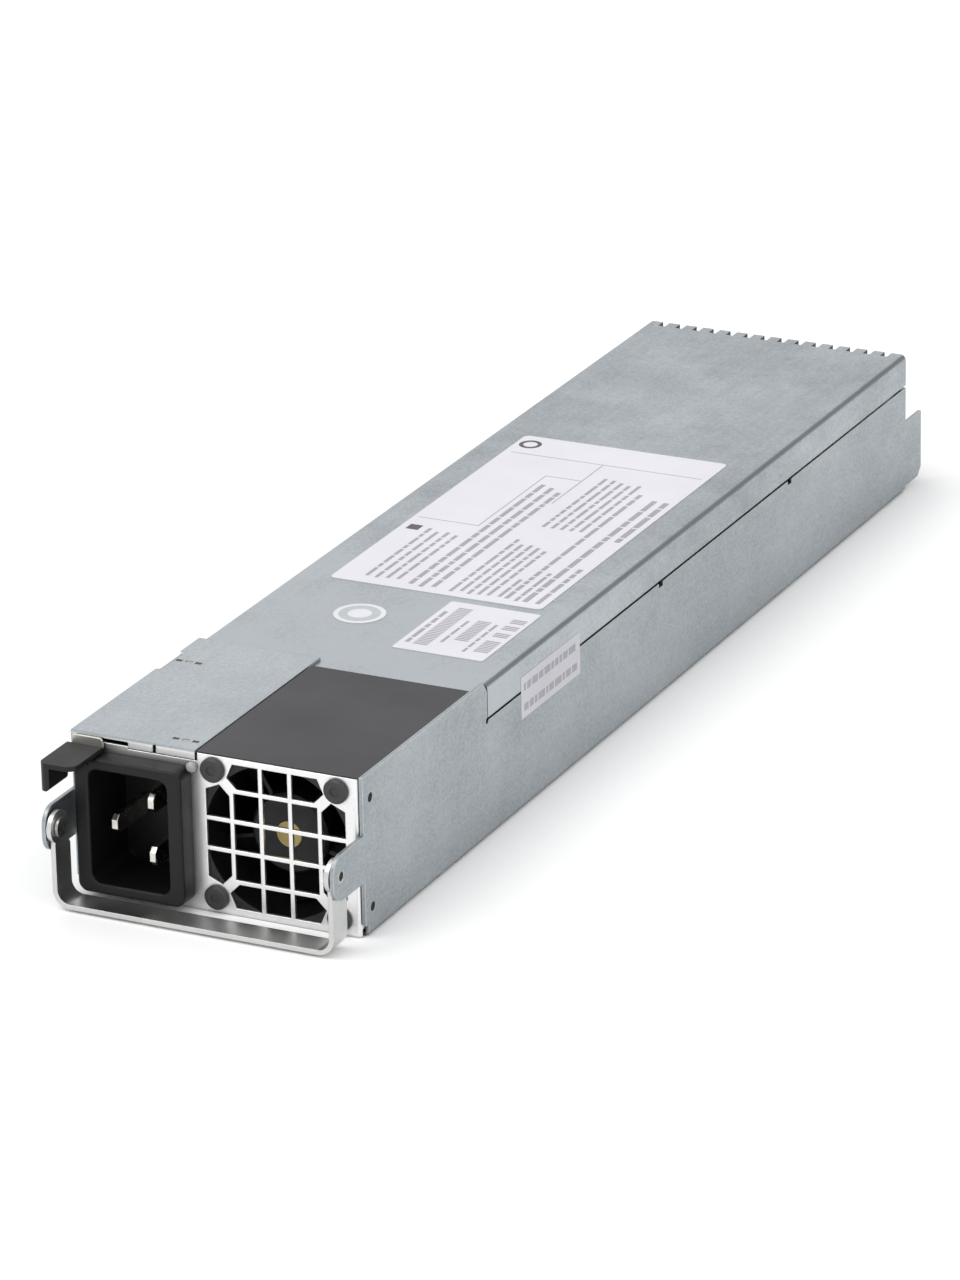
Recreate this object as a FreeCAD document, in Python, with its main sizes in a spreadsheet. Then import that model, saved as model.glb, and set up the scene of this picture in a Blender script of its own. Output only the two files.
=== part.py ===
import FreeCAD, Part
import os
import Sketcher

# Hot swap server power supply, millimetres.
# The front face with the mains inlet and the fan looks along -Y, the edge connector is at +Y, +Z is up.
# The origin is the middle of the underside of the base.

os.makedirs("parts", exist_ok=True)

doc = FreeCAD.newDocument("server_power_supply")
sheet = doc.addObject("Spreadsheet::Sheet", "sizes")

# Driving dimensions, each written once: alias, value.
DIMENSIONS = (
    # housing
    ("width", 76.0),
    ("height", 40.0),
    ("length", 336.0),
    ("base_sheet", 1.0),
    ("cover_sheet", 0.8),
    ("bend_outside", 1.6),
    ("fit_gap", 0.3),
    ("seam_gap", 0.7),
    ("tab_reach", 11.0),
    ("tab_chamfer", 2.2),
    ("flange_start", 65.8),
    ("flange_drop", 8.6),
    ("front_wall_end", 63.6),
    ("wall_slope_drop", 2.6),
    ("side_hole_radius", 1.2),
    ("side_hole_setback", 4.0),
    ("seam_notch_long", 2.6),
    ("seam_notch_deep", 1.2),
    ("hook_long", 9.0),
    ("hook_deep", 3.4),
    ("hook_first", 165.0),
    ("hook_pitch", 81.0),
    ("corner_relief", 3.2),
    # rear vent
    ("vent_count", 14),
    ("vent_width", 2.0),
    ("vent_run", 3.2),
    ("vent_foot", 4.0),
    # front plate and grille
    ("plate_sheet", 0.8),
    ("plate_flange", 8.0),
    ("grille_pitch", 7.6),
    ("grille_wire", 1.0),
    ("grille_outer", 6.2),
    ("grille_slant", 2.6),
    ("grille_neck", 1.4),
    # fan
    ("fan_clearance", 0.3),
    ("fan_side_gap", 1.9),
    ("fan_hole_share", 0.8122),
    ("fan_wall", 0.8),
    ("fan_hub_share", 0.5076),
    ("rotor_tip_gap", 0.6),
    ("fan_long", 28.0),
    ("fan_hole_radius", 1.75),
    ("fan_flange", 3.6),
    ("fan_waist", 1.6),
    ("strut_thick", 2.6),
    ("strut_width", 2.0),
    ("rotor_long", 19.0),
    ("rotor_gap", 0.6),
    ("rotor_shell", 1.2),
    ("shaft_radius", 1.5),
    ("shaft_fit", 0.06),
    ("blade_thick", 1.1),
    ("front_blades", 5),
    ("rear_blades", 7),
    ("film_sheet", 0.2),
    ("film_gap", 0.05),
    # push rivets
    ("push_head_radius", 3.0),
    ("push_head_tall", 1.2),
    ("push_shank_radius", 1.6),
    # inlet
    ("inlet_proud", 5.5),
    ("inlet_rear_deep", 22.0),
    ("inlet_corner", 2.6),
    ("socket_deep", 18.0),
    ("pin_thick", 1.5),
    ("pin_wide", 4.6),
    ("pin_long", 15.0),
    ("pin_tail", 7.0),
    # inlet cover plate
    ("lip_drop", 2.3),
    ("slit_wide", 0.8),
    ("edge_notch_start", 41.6),
    ("edge_notch_long", 12.4),
    ("edge_notch_deep", 1.4),
    # status light
    ("led_radius", 1.3),
    # handle
    ("pivot_reach", 11.4),
    ("ear_reach", 15.2),
    ("ear_tall", 11.4),
    ("ear_corner", 4.4),
    ("strap_thick", 1.2),
    ("strap_wide", 7.0),
    ("strap_front", 13.6),
    ("strap_under", 0.7),
    ("strap_bend", 4.4),
    ("eye_radius", 4.0),
    ("side_play", 0.3),
    ("handle_rivet_radius", 1.6),
    ("handle_rivet_head", 2.5),
    ("rivet_fit", 0.02),
    ("running_fit", 0.06),
    # latch
    ("leaf_thick", 0.6),
    ("leaf_play", 0.2),
    ("leaf_root", 64.4),
    ("leaf_tall", 10.2),
    ("neck_start", 9.0),
    ("leaf_front", 1.3),
    ("tongue_wide", 8.0),
    ("catch_y", 24.0),
    ("catch_long", 9.0),
    ("catch_proud", 1.8),
    ("catch_tall", 7.0),
    ("touch_wide", 9.4),
    ("touch_deep", 14.0),
    ("touch_plate", 1.2),
    ("touch_side", 2.8),
    ("touch_tall", 7.0),
    ("latch_rivet_radius", 1.2),
    ("rivet_head_tall", 0.7),
    # circuit board and its parts
    ("board_z", 5.2),
    ("board_thick", 1.6),
    ("board_start", 66.0),
    ("board_side_gap", 1.5),
    ("tongue_setback", 0.6),
    ("insulator_thick", 0.4),
    ("standoff_radius", 2.8),
    ("standoff_screw_radius", 1.25),
    ("contact_thick", 0.1),
    ("tongue_share", 0.737),
    ("contact_count", 12),
    ("contact_long", 8.0),
    ("wire_radius", 1.3),
    ("wire_bend", 7.0),
    ("fan_lead_radius", 0.55),
    ("fan_lead_pitch", 1.8),
    ("fin_root", 2.6),
    ("core_deep", 36.0),
    ("core_leg", 13.0),
    ("core_window", 7.6),
    ("core_window_deep", 24.0),
    ("label_thick", 0.15),
)
for row, (alias, value) in enumerate(DIMENSIONS, 1):
    sheet.set(f"A{row}", alias)
    sheet.set(f"B{row}", str(value))
    sheet.setAlias(f"B{row}", alias)
doc.recompute()


class Size:
    """A length kept both as a number and as an expression on the sheet."""

    def __init__(self, value, text):
        self.value = float(value)
        self.text = text

    def __add__(self, other):
        other = size(other)
        return Size(self.value + other.value, f"({self.text} + {other.text})")

    def __sub__(self, other):
        other = size(other)
        return Size(self.value - other.value, f"({self.text} - {other.text})")

    def __mul__(self, other):
        other = size(other)
        return Size(self.value * other.value, f"({self.text} * {other.text})")

    def __truediv__(self, other):
        other = size(other)
        return Size(self.value / other.value, f"({self.text} / {other.text})")

    def __neg__(self):
        return Size(-self.value, f"(0 - {self.text})")

    def __radd__(self, other):
        return size(other) + self

    def __rsub__(self, other):
        return size(other) - self

    def __rmul__(self, other):
        return size(other) * self


def size(number):
    """A plain number, or a Size as it is."""
    if isinstance(number, Size):
        return number
    return Size(number, f"({number})")


def cell(alias):
    """The driving dimension with this alias."""
    return Size(sheet.get(alias), f"sizes.{alias}")


def least(first, second):
    """The smaller of two lengths."""
    first = size(first)
    second = size(second)
    return Size(min(first.value, second.value), f"min({first.text}; {second.text})")


def bind(thing, name, length):
    """Tie a property or a constraint of a document object to the sheet."""
    thing.setExpression(name, size(length).text)


# Sizes that follow from the driving ones.
width = cell("width")
height = cell("height")
half_width = width / 2
wall_inside = half_width - cell("base_sheet")
base_sheet = cell("base_sheet")
cover_sheet = cell("cover_sheet")
fit_gap = cell("fit_gap")
tab_end = cell("length")
tab_height = height * 0.495
housing_end = tab_end - cell("tab_reach")
cover_top = height - cover_sheet
seam_z = cover_top - cell("flange_drop")
side_hole_spread = height * 0.68
vent_pitch = width * 0.0664

fan_centre_z = height / 2
fan_half = fan_centre_z - cell("fan_clearance")
fan_x = wall_inside - cell("fan_side_gap") - fan_half
fan_hole_half = fan_half * cell("fan_hole_share")
fan_bore_radius = fan_half - cell("fan_wall")
fan_hub_radius = fan_half * cell("fan_hub_share")
rotor_tip_radius = fan_bore_radius - cell("rotor_tip_gap")
fan_front = cell("plate_sheet") + 0.1
fan_end = fan_front + 2 * cell("fan_long") + 0.2
seam_x = fan_x - fan_half - 0.9

inlet_wide = seam_x + half_width - 4.6
inlet_tall = height - 6.0
inlet_x = seam_x - 1.2 - inlet_wide / 2
inlet_z = height / 2 - 1.0
inlet_rear_wide = inlet_wide - 6.4
inlet_rear_tall = inlet_tall - 3.4
socket_wide = inlet_wide - 7.6
socket_tall = inlet_tall - 5.4
pin_spread = socket_tall * 0.47
pin_row_x = socket_wide * 0.22
earth_row_x = -socket_wide * 0.255
led_x = seam_x - 0.7
led_z = height - 4.0
slit_x = seam_x - 10.6
latch_slot_end = seam_x - 17.6

leaf_high_z = height - 4.8
leaf_low_z = leaf_high_z - cell("leaf_tall")
neck_low_z = height - 3.7
neck_high_z = height - 1.0
tongue_high_z = height - 0.4
catch_low_z = leaf_low_z + 2.0
leaf_outside = -(wall_inside - cell("leaf_play"))
leaf_inside = leaf_outside + cell("leaf_thick")
latch_rivet_y = cell("leaf_root") - 4.0
pivot_z = height / 2 + 0.4
strap_outside = wall_inside - cell("side_play")
strap_inside = strap_outside - cell("strap_thick")

board_top = cell("board_z") + cell("board_thick")
board_rear = tab_end - cell("tongue_setback")
board_run = housing_end - cell("board_start")
tongue_board_wide = width * cell("tongue_share")
contact_pitch = tongue_board_wide * 0.075
contact_wide = contact_pitch * 0.762
room = height - 12.0
bulk_radius = least(room / 2 + 0.8, (width - 16.8) / 4)
bulk_long = board_run * 0.181
transformer_x = -half_width * 0.316
core_wide = half_width * 1.05
core_tall = room - 6.0
capacitor_pitch = half_width * 0.342
capacitor_radius = half_width * 0.121
capacitor_tall = room * 0.72

BOARD_RUN = 259.0


def along(distance):
    """A place on the board, given as its distance from the board's front at the real length."""
    return cell("board_start") + board_run * (distance / BOARD_RUN)


PLANES = {"XY": "XY_Plane", "XZ": "XZ_Plane", "YZ": "YZ_Plane"}
sub_parts = []


def new_body(label, x=0.0, y=0.0, z=0.0):
    """A body whose own origin lies at x, y from the front face and z above the underside."""
    body = doc.addObject("PartDesign::Body", label)
    body.Label = label
    body.AllowCompound = True
    bind(body, "Placement.Base.x", size(x))
    bind(body, "Placement.Base.y", size(y) - tab_end / 2)
    bind(body, "Placement.Base.z", size(z))
    sub_parts.append(body)
    return body


def box_loop(x0, y0, x1, y1):
    """A rectangle between two corners."""
    return ("lines", [(x0, y0), (x1, y0), (x1, y1), (x0, y1)])


def circle(x, y, radius):
    """A circle."""
    return ("circle", (x, y, radius))


def lines(*points):
    """A closed outline of straight runs."""
    return ("lines", list(points))


def new_sketch(body, name, plane, start, loops):
    """A fully dimensioned sketch on a plane of the body, lifted to start along the plane's world axis."""
    sketch = body.newObject("Sketcher::SketchObject", name)
    support = [item for item in body.Origin.OriginFeatures if item.Role == PLANES[plane]][0]
    sketch.AttachmentSupport = [(support, "")]
    sketch.MapMode = "FlatFace"
    lift = -size(start) if plane == "XZ" else size(start)
    bind(sketch, "AttachmentOffset.Base.z", lift)
    for kind, data in loops:
        first = sketch.GeometryCount
        if kind == "circle":
            x, y, radius = (size(item) for item in data)
            middle = FreeCAD.Vector(x.value, y.value, 0)
            sketch.addGeometry(Part.Circle(middle, FreeCAD.Vector(0, 0, 1), radius.value), False)
            place_point(sketch, first, 3, x, y)
            number = sketch.addConstraint(Sketcher.Constraint("Radius", first, radius.value))
            bind(sketch, f"Constraints[{number}]", radius)
            continue
        points = [(size(x), size(y)) for x, y in data]
        corners = [FreeCAD.Vector(x.value, y.value, 0) for x, y in points]
        count = len(corners)
        for index in range(count):
            sketch.addGeometry(Part.LineSegment(corners[index], corners[(index + 1) % count]), False)
        for index in range(count):
            following = first + (index + 1) % count
            sketch.addConstraint(Sketcher.Constraint("Coincident", first + index, 2, following, 1))
        for index, (x, y) in enumerate(points):
            place_point(sketch, first + index, 1, x, y)
    return sketch


def place_point(sketch, geometry, position, x, y):
    """Dimension a point of the sketch from its origin."""
    for kind, length in (("DistanceX", x), ("DistanceY", y)):
        made = Sketcher.Constraint(kind, -1, 1, geometry, position, length.value)
        number = sketch.addConstraint(made)
        bind(sketch, f"Constraints[{number}]", length)


def pad(body, name, plane, start, long, *loops):
    """Add material from start for a length along the plane's world axis."""
    sketch = new_sketch(body, name + "_sketch", plane, start, loops)
    feature = body.newObject("PartDesign::Pad", name)
    feature.Profile = sketch
    feature.Reversed = plane == "XZ"
    bind(feature, "Length", long)
    sketch.Visibility = False
    return feature


def pocket(body, name, plane, start, long, *loops):
    """Cut from start for a length along the plane's world axis."""
    sketch = new_sketch(body, name + "_sketch", plane, start, loops)
    feature = body.newObject("PartDesign::Pocket", name)
    feature.Profile = sketch
    feature.Reversed = plane != "XZ"
    bind(feature, "Length", long)
    sketch.Visibility = False
    return feature


def origin_axis(body, axis):
    """One of the body's own axes, for a pattern."""
    found = [item for item in body.Origin.OriginFeatures if item.Role == f"{axis}_Axis"][0]
    return (found, [""])


def polar(body, name, features, axis, count):
    """Repeat features around one of the body's own axes."""
    pattern = body.newObject("PartDesign::PolarPattern", name)
    pattern.Originals = features
    pattern.Axis = origin_axis(body, axis)
    pattern.Angle = 360
    bind(pattern, "Occurrences", count)
    body.Tip = pattern
    return pattern


def row(body, name, features, axis, pitch, count):
    """Repeat features in a straight row along one of the body's own axes."""
    pattern = body.newObject("PartDesign::LinearPattern", name)
    pattern.Originals = features
    pattern.Direction = origin_axis(body, axis)
    pattern.Mode = "Spacing"
    bind(pattern, "Offset", pitch)
    bind(pattern, "Occurrences", count)
    body.Tip = pattern
    return pattern


def straight_edges(feature, axis, *places):
    """Names of the straight edges along an axis whose middle lies at one of the places."""
    others = [item for item in "xyz" if item != axis]
    names = []
    for number, edge in enumerate(feature.Shape.Edges, 1):
        box = edge.BoundBox
        spans = {"x": box.XLength, "y": box.YLength, "z": box.ZLength}
        middle = {"x": box.Center.x, "y": box.Center.y, "z": box.Center.z}
        if spans[axis] < 0.1 or any(spans[item] > 0.02 for item in others):
            continue
        for place in places:
            if all(abs(middle[item] - size(at).value) < 0.02 for item, at in place.items()):
                names.append(f"Edge{number}")
                break
    return names


def soften(body, name, axis, radius, *places, kind="Fillet"):
    """Round or bevel the straight edges at the places."""
    doc.recompute()
    feature = body.Tip
    edges = straight_edges(feature, axis, *places)
    if not edges:
        raise RuntimeError(f"{name} finds no edge")
    made = body.newObject(f"PartDesign::{kind}", name)
    made.Base = (feature, edges)
    bind(made, "Radius" if kind == "Fillet" else "Size", radius)
    return made


# Housing


def base_shell():
    """The folded base: floor, both side walls, handle ears, rear tabs and seam notches."""
    body = new_body("base_shell")
    front = size(0.3)
    relief_y = front + 1.5
    relief = cell("corner_relief")
    ear_top = pivot_z + cell("ear_tall") / 2 - 0.4
    ear_low = ear_top - cell("ear_tall")
    seat = seam_z - cell("seam_gap")
    step_y = cell("flange_start") - fit_gap - 0.1
    pad(body, "channel", "XZ", relief_y, housing_end - relief_y, lines(
        (-half_width, 0.0),
        (half_width, 0.0),
        (half_width, seat),
        (wall_inside, seat),
        (wall_inside, base_sheet),
        (-wall_inside, base_sheet),
        (-wall_inside, seat),
        (-half_width, seat)))
    soften(body, "outer_bends", "y", cell("bend_outside"),
           {"x": half_width, "z": 0.0}, {"x": -half_width, "z": 0.0})
    soften(body, "inner_bends", "y", cell("bend_outside") - base_sheet,
           {"x": wall_inside, "z": base_sheet}, {"x": -wall_inside, "z": base_sheet})
    pad(body, "floor_front", "XY", 0.0, base_sheet,
        box_loop(-wall_inside + 1.0, cell("plate_sheet") + 0.1, wall_inside - 1.0, relief_y + 0.1))
    for side, start, top in (("right", wall_inside, height), ("left", -half_width, cover_top)):
        pad(body, f"{side}_front_wall", "YZ", start, base_sheet, lines(
            (step_y, seat - 2.0),
            (step_y, top - cell("wall_slope_drop")),
            (cell("front_wall_end"), top),
            (front, top),
            (front, ear_top),
            (-cell("ear_reach"), ear_top),
            (-cell("ear_reach"), ear_low),
            (front, ear_low),
            (front, relief),
            (relief_y + 0.2, relief),
            (relief_y + 0.2, seat - 2.0)))
        pad(body, f"{side}_tab", "YZ", start, base_sheet, lines(
            (housing_end - 1.0, cell("bend_outside")),
            (tab_end - cell("tab_chamfer"), cell("bend_outside")),
            (tab_end, cell("bend_outside") + cell("tab_chamfer")),
            (tab_end, tab_height),
            (housing_end - 1.0, tab_height)))
    soften(body, "ear_corners", "x", cell("ear_corner"),
           {"y": -cell("ear_reach"), "z": ear_top}, {"y": -cell("ear_reach"), "z": ear_low})

    across = cell("width") + 2.0
    spread = side_hole_spread / 2
    hole_middle = fan_centre_z + 0.4
    pocket(body, "side_holes", "YZ", -half_width - 1.0, across,
           circle(cell("side_hole_setback"), hole_middle + spread, cell("side_hole_radius")),
           circle(cell("side_hole_setback"), hole_middle - spread, cell("side_hole_radius")),
           circle(-cell("pivot_reach"), pivot_z, cell("handle_rivet_radius") + cell("rivet_fit")),
           circle(step_y, seat, 0.8))
    notch_start = cell("hook_first") - cell("seam_notch_long") / 2
    notch = pocket(body, "seam_notch", "YZ", -half_width - 1.0, across,
                   box_loop(notch_start, seat - cell("seam_notch_deep"),
                            notch_start + cell("seam_notch_long"), seat + 1.0))
    row(body, "seam_notches", [notch], "Y", cell("hook_pitch"), size(2))
    pocket(body, "fan_window", "XY", -1.0, base_sheet + 2.0,
           box_loop(fan_x - fan_half - 0.4, 0.0, fan_x + fan_half + 0.4, fan_end + 0.8))
    low = catch_low_z - 0.8
    pocket(body, "catch_window", "YZ", -half_width - 1.0, base_sheet + 2.0,
           box_loop(cell("catch_y") - 1.2, low,
                    cell("catch_y") + cell("catch_long") + 1.2, low + cell("catch_tall") + 1.6))
    pocket(body, "latch_rivet_holes", "YZ", -half_width - 1.0, base_sheet + 2.0,
           *[circle(latch_rivet_y, z, cell("latch_rivet_radius") + cell("rivet_fit"))
             for z in latch_rivet_heights()])


def latch_rivet_heights():
    """Heights of the two rivets that hold the latch leaf."""
    middle = (leaf_low_z + leaf_high_z) / 2
    return (middle - 2.6, middle + 2.6)


def standoff_places():
    """Places of the board's standoffs on the base."""
    side = wall_inside - 6.5
    places = []
    for y in (cell("board_start") + 8.0, cell("board_start") + 128.0, housing_end - 16.0):
        places.append((-side, y))
        places.append((side, y))
    return places


def top_cover():
    """The folded cover with side flanges, hooks, and vent slots that wrap over its rear bend."""
    body = new_body("top_cover")
    start = cell("flange_start")
    inside = half_width - cover_sheet
    under = cover_top - cover_sheet
    pad(body, "channel", "XZ", start, housing_end - start, lines(
        (-half_width, seam_z),
        (-inside, seam_z),
        (-inside, under),
        (inside, under),
        (inside, seam_z),
        (half_width, seam_z),
        (half_width, cover_top),
        (-half_width, cover_top)))
    tongue = wall_inside - fit_gap
    tongue_start = fan_end + 1.3
    pad(body, "front_tongue", "XY", under, cover_sheet,
        box_loop(-tongue, tongue_start, tongue, start + 0.1))
    wall_foot = tab_height + 0.4
    soften(body, "side_bends", "y", cell("bend_outside"),
           {"x": half_width, "z": cover_top}, {"x": -half_width, "z": cover_top})
    soften(body, "inner_bends", "y", cell("bend_outside") - cover_sheet,
           {"x": inside, "z": under}, {"x": -inside, "z": under})
    pad(body, "rear_wall", "XZ", housing_end - cover_sheet, cover_sheet,
        box_loop(-inside + 0.6, wall_foot, inside - 0.6, cover_top - 0.01))
    span = (cell("vent_count") - 1) * vent_pitch
    first = -span / 2 - cell("vent_width") / 2
    slot = pocket(body, "vent_slot", "XZ", housing_end - cell("vent_run"), cell("vent_run") + 1.0,
                  box_loop(first, wall_foot + cell("vent_foot"), first + cell("vent_width"), cover_top + 1.0))
    row(body, "vent_slots", [slot], "X", vent_pitch, cell("vent_count"))
    hook_y = cell("hook_first") - cell("hook_long") / 2
    reach = wall_inside - 0.05
    hook = pad(body, "hook", "YZ", reach - cover_sheet, cover_sheet,
               box_loop(hook_y, seam_z - cell("hook_deep"), hook_y + cell("hook_long"), seam_z + 2.2))
    root = pad(body, "hook_root", "YZ", reach - cover_sheet, cover_sheet + 0.3,
               box_loop(hook_y, seam_z + 0.3, hook_y + cell("hook_long"), seam_z + 2.2))
    left_hook = pad(body, "left_hook", "YZ", -reach, cover_sheet,
                    box_loop(hook_y, seam_z - cell("hook_deep"), hook_y + cell("hook_long"), seam_z + 2.2))
    left_root = pad(body, "left_hook_root", "YZ", -reach - 0.3, cover_sheet + 0.3,
                    box_loop(hook_y, seam_z + 0.3, hook_y + cell("hook_long"), seam_z + 2.2))
    row(body, "hooks", [hook, root, left_hook, left_root], "Y", cell("hook_pitch"), size(2))


def inlet_cover_plate():
    """The sheet over the inlet, with its notched edge, clinch marks and front lip."""
    body = new_body("inlet_cover_plate")
    end = cell("front_wall_end")
    pad(body, "sheet", "XY", cover_top, cover_sheet, box_loop(-half_width, 0.0, seam_x, end))
    pad(body, "lip", "XZ", 0.0, cell("plate_sheet"),
        box_loop(latch_slot_end, height - cell("lip_drop"), seam_x, height - 0.1))
    soften(body, "lip_bend", "x", cell("bend_outside") / 2, {"y": 0.0, "z": height})
    pocket(body, "lip_slit", "XZ", -1.0, 3.4,
           box_loop(slit_x - cell("slit_wide") / 2, height - cell("lip_drop") - 1.0,
                    slit_x + cell("slit_wide") / 2, height - 0.4))
    pocket(body, "edge_notch", "XY", cover_top - 1.0, cover_sheet + 2.0,
           lines((-half_width - 1.0, cell("edge_notch_start")),
                 (-half_width, cell("edge_notch_start")),
                 (-half_width + cell("edge_notch_deep"), cell("edge_notch_start") + 0.8),
                 (-half_width + cell("edge_notch_deep"), cell("edge_notch_start") + cell("edge_notch_long") - 0.8),
                 (-half_width, cell("edge_notch_start") + cell("edge_notch_long")),
                 (-half_width - 1.0, cell("edge_notch_start") + cell("edge_notch_long"))))
    marks = []
    for x, y in ((-32.8, 48.7), (-10.1, 5.0)):
        for offset in (-2.6, 0.0, 2.6):
            marks.append(box_loop(x + offset - 0.8, y - 0.6, x + offset + 0.8, y + 0.6))
    pocket(body, "clinch_marks", "XY", height - 0.3, 1.0, *marks)


def front_plate():
    """The front plate with the punched grille, the inlet window and folded side flanges."""
    body = new_body("front_plate", fan_x, 0.0, fan_centre_z)
    thick = cell("plate_sheet")
    centre_x = fan_x
    centre_z = fan_centre_z
    reach = wall_inside - 0.1
    low = 0.1 - centre_z
    high = height - 0.4 - centre_z
    slot_z = neck_low_z - 0.4 - centre_z
    slot_top = height - 1.8 - centre_z
    slot_right = leaf_inside + 5.0 - centre_x
    lip_z = height - cell("lip_drop") - 0.15 - centre_z
    left = -reach - centre_x
    right = reach - centre_x
    seam = seam_x - centre_x
    window_left = inlet_x - inlet_rear_wide / 2 - 0.3 - centre_x
    window_right = inlet_x + inlet_rear_wide / 2 + 0.3 - centre_x
    window_low = inlet_z - inlet_rear_tall / 2 - 0.3 - centre_z
    window_high = inlet_z + inlet_rear_tall / 2 + 0.3 - centre_z
    slot_end = latch_slot_end - centre_x
    pad(body, "plate", "XZ", 0.0, thick,
        lines((left, low), (right, low), (right, high), (seam + 0.6, high), (seam + 0.6, lip_z),
              (slot_end, lip_z), (slot_end, slot_top), (slot_right, slot_top), (slot_right, slot_z),
              (left, slot_z)),
        box_loop(window_left, window_low, window_right, window_high))
    flange = cell("plate_flange")
    pad(body, "right_flange", "XZ", 0.0, flange, box_loop(right - thick, low + 2.0, right, high - 1.0))
    pad(body, "left_flange", "XZ", 0.0, flange, box_loop(left, low + 2.0, left + thick, leaf_low_z - 2.0 - centre_z))
    soften(body, "flange_bends", "z", cell("bend_outside") / 2 + 0.4, {"x": right, "y": 0.0}, {"x": left, "y": 0.0})
    hole_middle = size(0.4)
    for name, z in (("high", hole_middle + side_hole_spread / 2),
                    ("low", hole_middle - side_hole_spread / 2)):
        pocket(body, f"flange_hole_{name}", "YZ", right - thick - 1.0, thick + 2.0,
               circle(cell("side_hole_setback"), z, cell("side_hole_radius") - 0.3))

    pitch = cell("grille_pitch")
    half_wire = cell("grille_wire") / 2
    cells = []
    for column in (-1, 0, 1):
        for line in (-1, 0, 1):
            x = column * pitch
            z = line * pitch
            half = pitch / 2 - half_wire
            cells.append(box_loop(x - half, z - half, x + half, z + half))
    pocket(body, "middle_cells", "XZ", -1.0, thick + 2.0, *cells)
    inner = pitch * 1.5 + half_wire
    outer = inner + cell("grille_outer")
    slant = cell("grille_slant")
    neck = cell("grille_neck")
    side = pitch * 1.5
    outer_cells = [
        box_loop(-pitch / 2 + half_wire, inner, pitch / 2 - half_wire, outer),
        lines((pitch / 2 + half_wire, inner), (side - neck, inner), (side + slant - neck, inner + slant),
              (side + slant - neck - 1.6, outer), (pitch / 2 + half_wire, outer)),
        lines((-pitch / 2 - half_wire, inner), (-side + neck, inner), (-side - slant + neck, inner + slant),
              (-side - slant + neck + 1.6, outer), (-pitch / 2 - half_wire, outer))]
    ring = pocket(body, "outer_cells", "XZ", -1.0, thick + 2.0, *outer_cells)
    polar(body, "grille_sides", [ring], "Y", size(4))
    hole = fan_hole_half
    rivet_hole = cell("push_shank_radius") + 0.05
    pocket(body, "rivet_holes", "XZ", -1.0, thick + 2.0,
           *[circle(x, z, rivet_hole) for x in (-hole, hole) for z in (-hole, hole)])
    pocket(body, "led_hole", "XZ", -1.0, thick + 2.0,
           circle(led_x - centre_x, led_z - centre_z, cell("led_radius") + 0.05))


def film(label, z, left, right, start, end):
    """Dark film that closes the fan's window in the sheet."""
    body = new_body(label)
    pad(body, "film", "XY", z, cell("film_sheet"), box_loop(left, start, right, end))


# Fans


def fan_frame(label, start, hub_at, vanes, lean):
    """A square fan frame with a round duct, a bearing hub and leaning struts."""
    body = new_body(label, fan_x, start, fan_centre_z)
    long = cell("fan_long")
    flange = cell("fan_flange")
    waist = fan_half - cell("fan_waist")
    pad(body, "front_flange", "XZ", 0.0, flange, box_loop(-fan_half, -fan_half, fan_half, fan_half))
    pad(body, "barrel", "XZ", flange - 0.01, long - 2 * flange + 0.02,
        lines((-fan_half, -waist + 6.0), (-waist + 6.0, -fan_half), (waist - 6.0, -fan_half), (fan_half, -waist + 6.0),
              (fan_half, waist - 6.0), (waist - 6.0, fan_half), (-waist + 6.0, fan_half), (-fan_half, waist - 6.0)))
    pad(body, "rear_flange", "XZ", long - flange, flange, box_loop(-fan_half, -fan_half, fan_half, fan_half))
    soften(body, "frame_corners", "y", size(2.4),
           *[{"x": x, "z": z} for x in (-fan_half, fan_half) for z in (-fan_half, fan_half)])
    pocket(body, "duct", "XZ", -1.0, long + 2.0, circle(0.0, 0.0, fan_bore_radius))
    hole = fan_hole_half
    pocket(body, "mounting_holes", "XZ", -1.0, long + 2.0,
           *[circle(x, z, cell("fan_hole_radius")) for x in (-hole, hole) for z in (-hole, hole)])
    pad(body, "hub", "XZ", hub_at, cell("strut_thick"), circle(0.0, 0.0, fan_hub_radius))
    half = cell("strut_width") / 2
    root = fan_hub_radius - 1.0
    tip = fan_bore_radius + 0.4
    strut = pad(body, "strut", "XZ", hub_at, cell("strut_thick"),
                lines((-half, root), (half, root), (half + lean, tip), (-half + lean, tip)))
    polar(body, "struts", [strut], "Y", size(vanes))
    bearing = pocket(body, "bearing", "XZ", hub_at - 1.0, cell("strut_thick") + 2.0,
                     circle(0.0, 0.0, cell("shaft_radius") + cell("shaft_fit")))
    body.Tip = bearing


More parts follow.
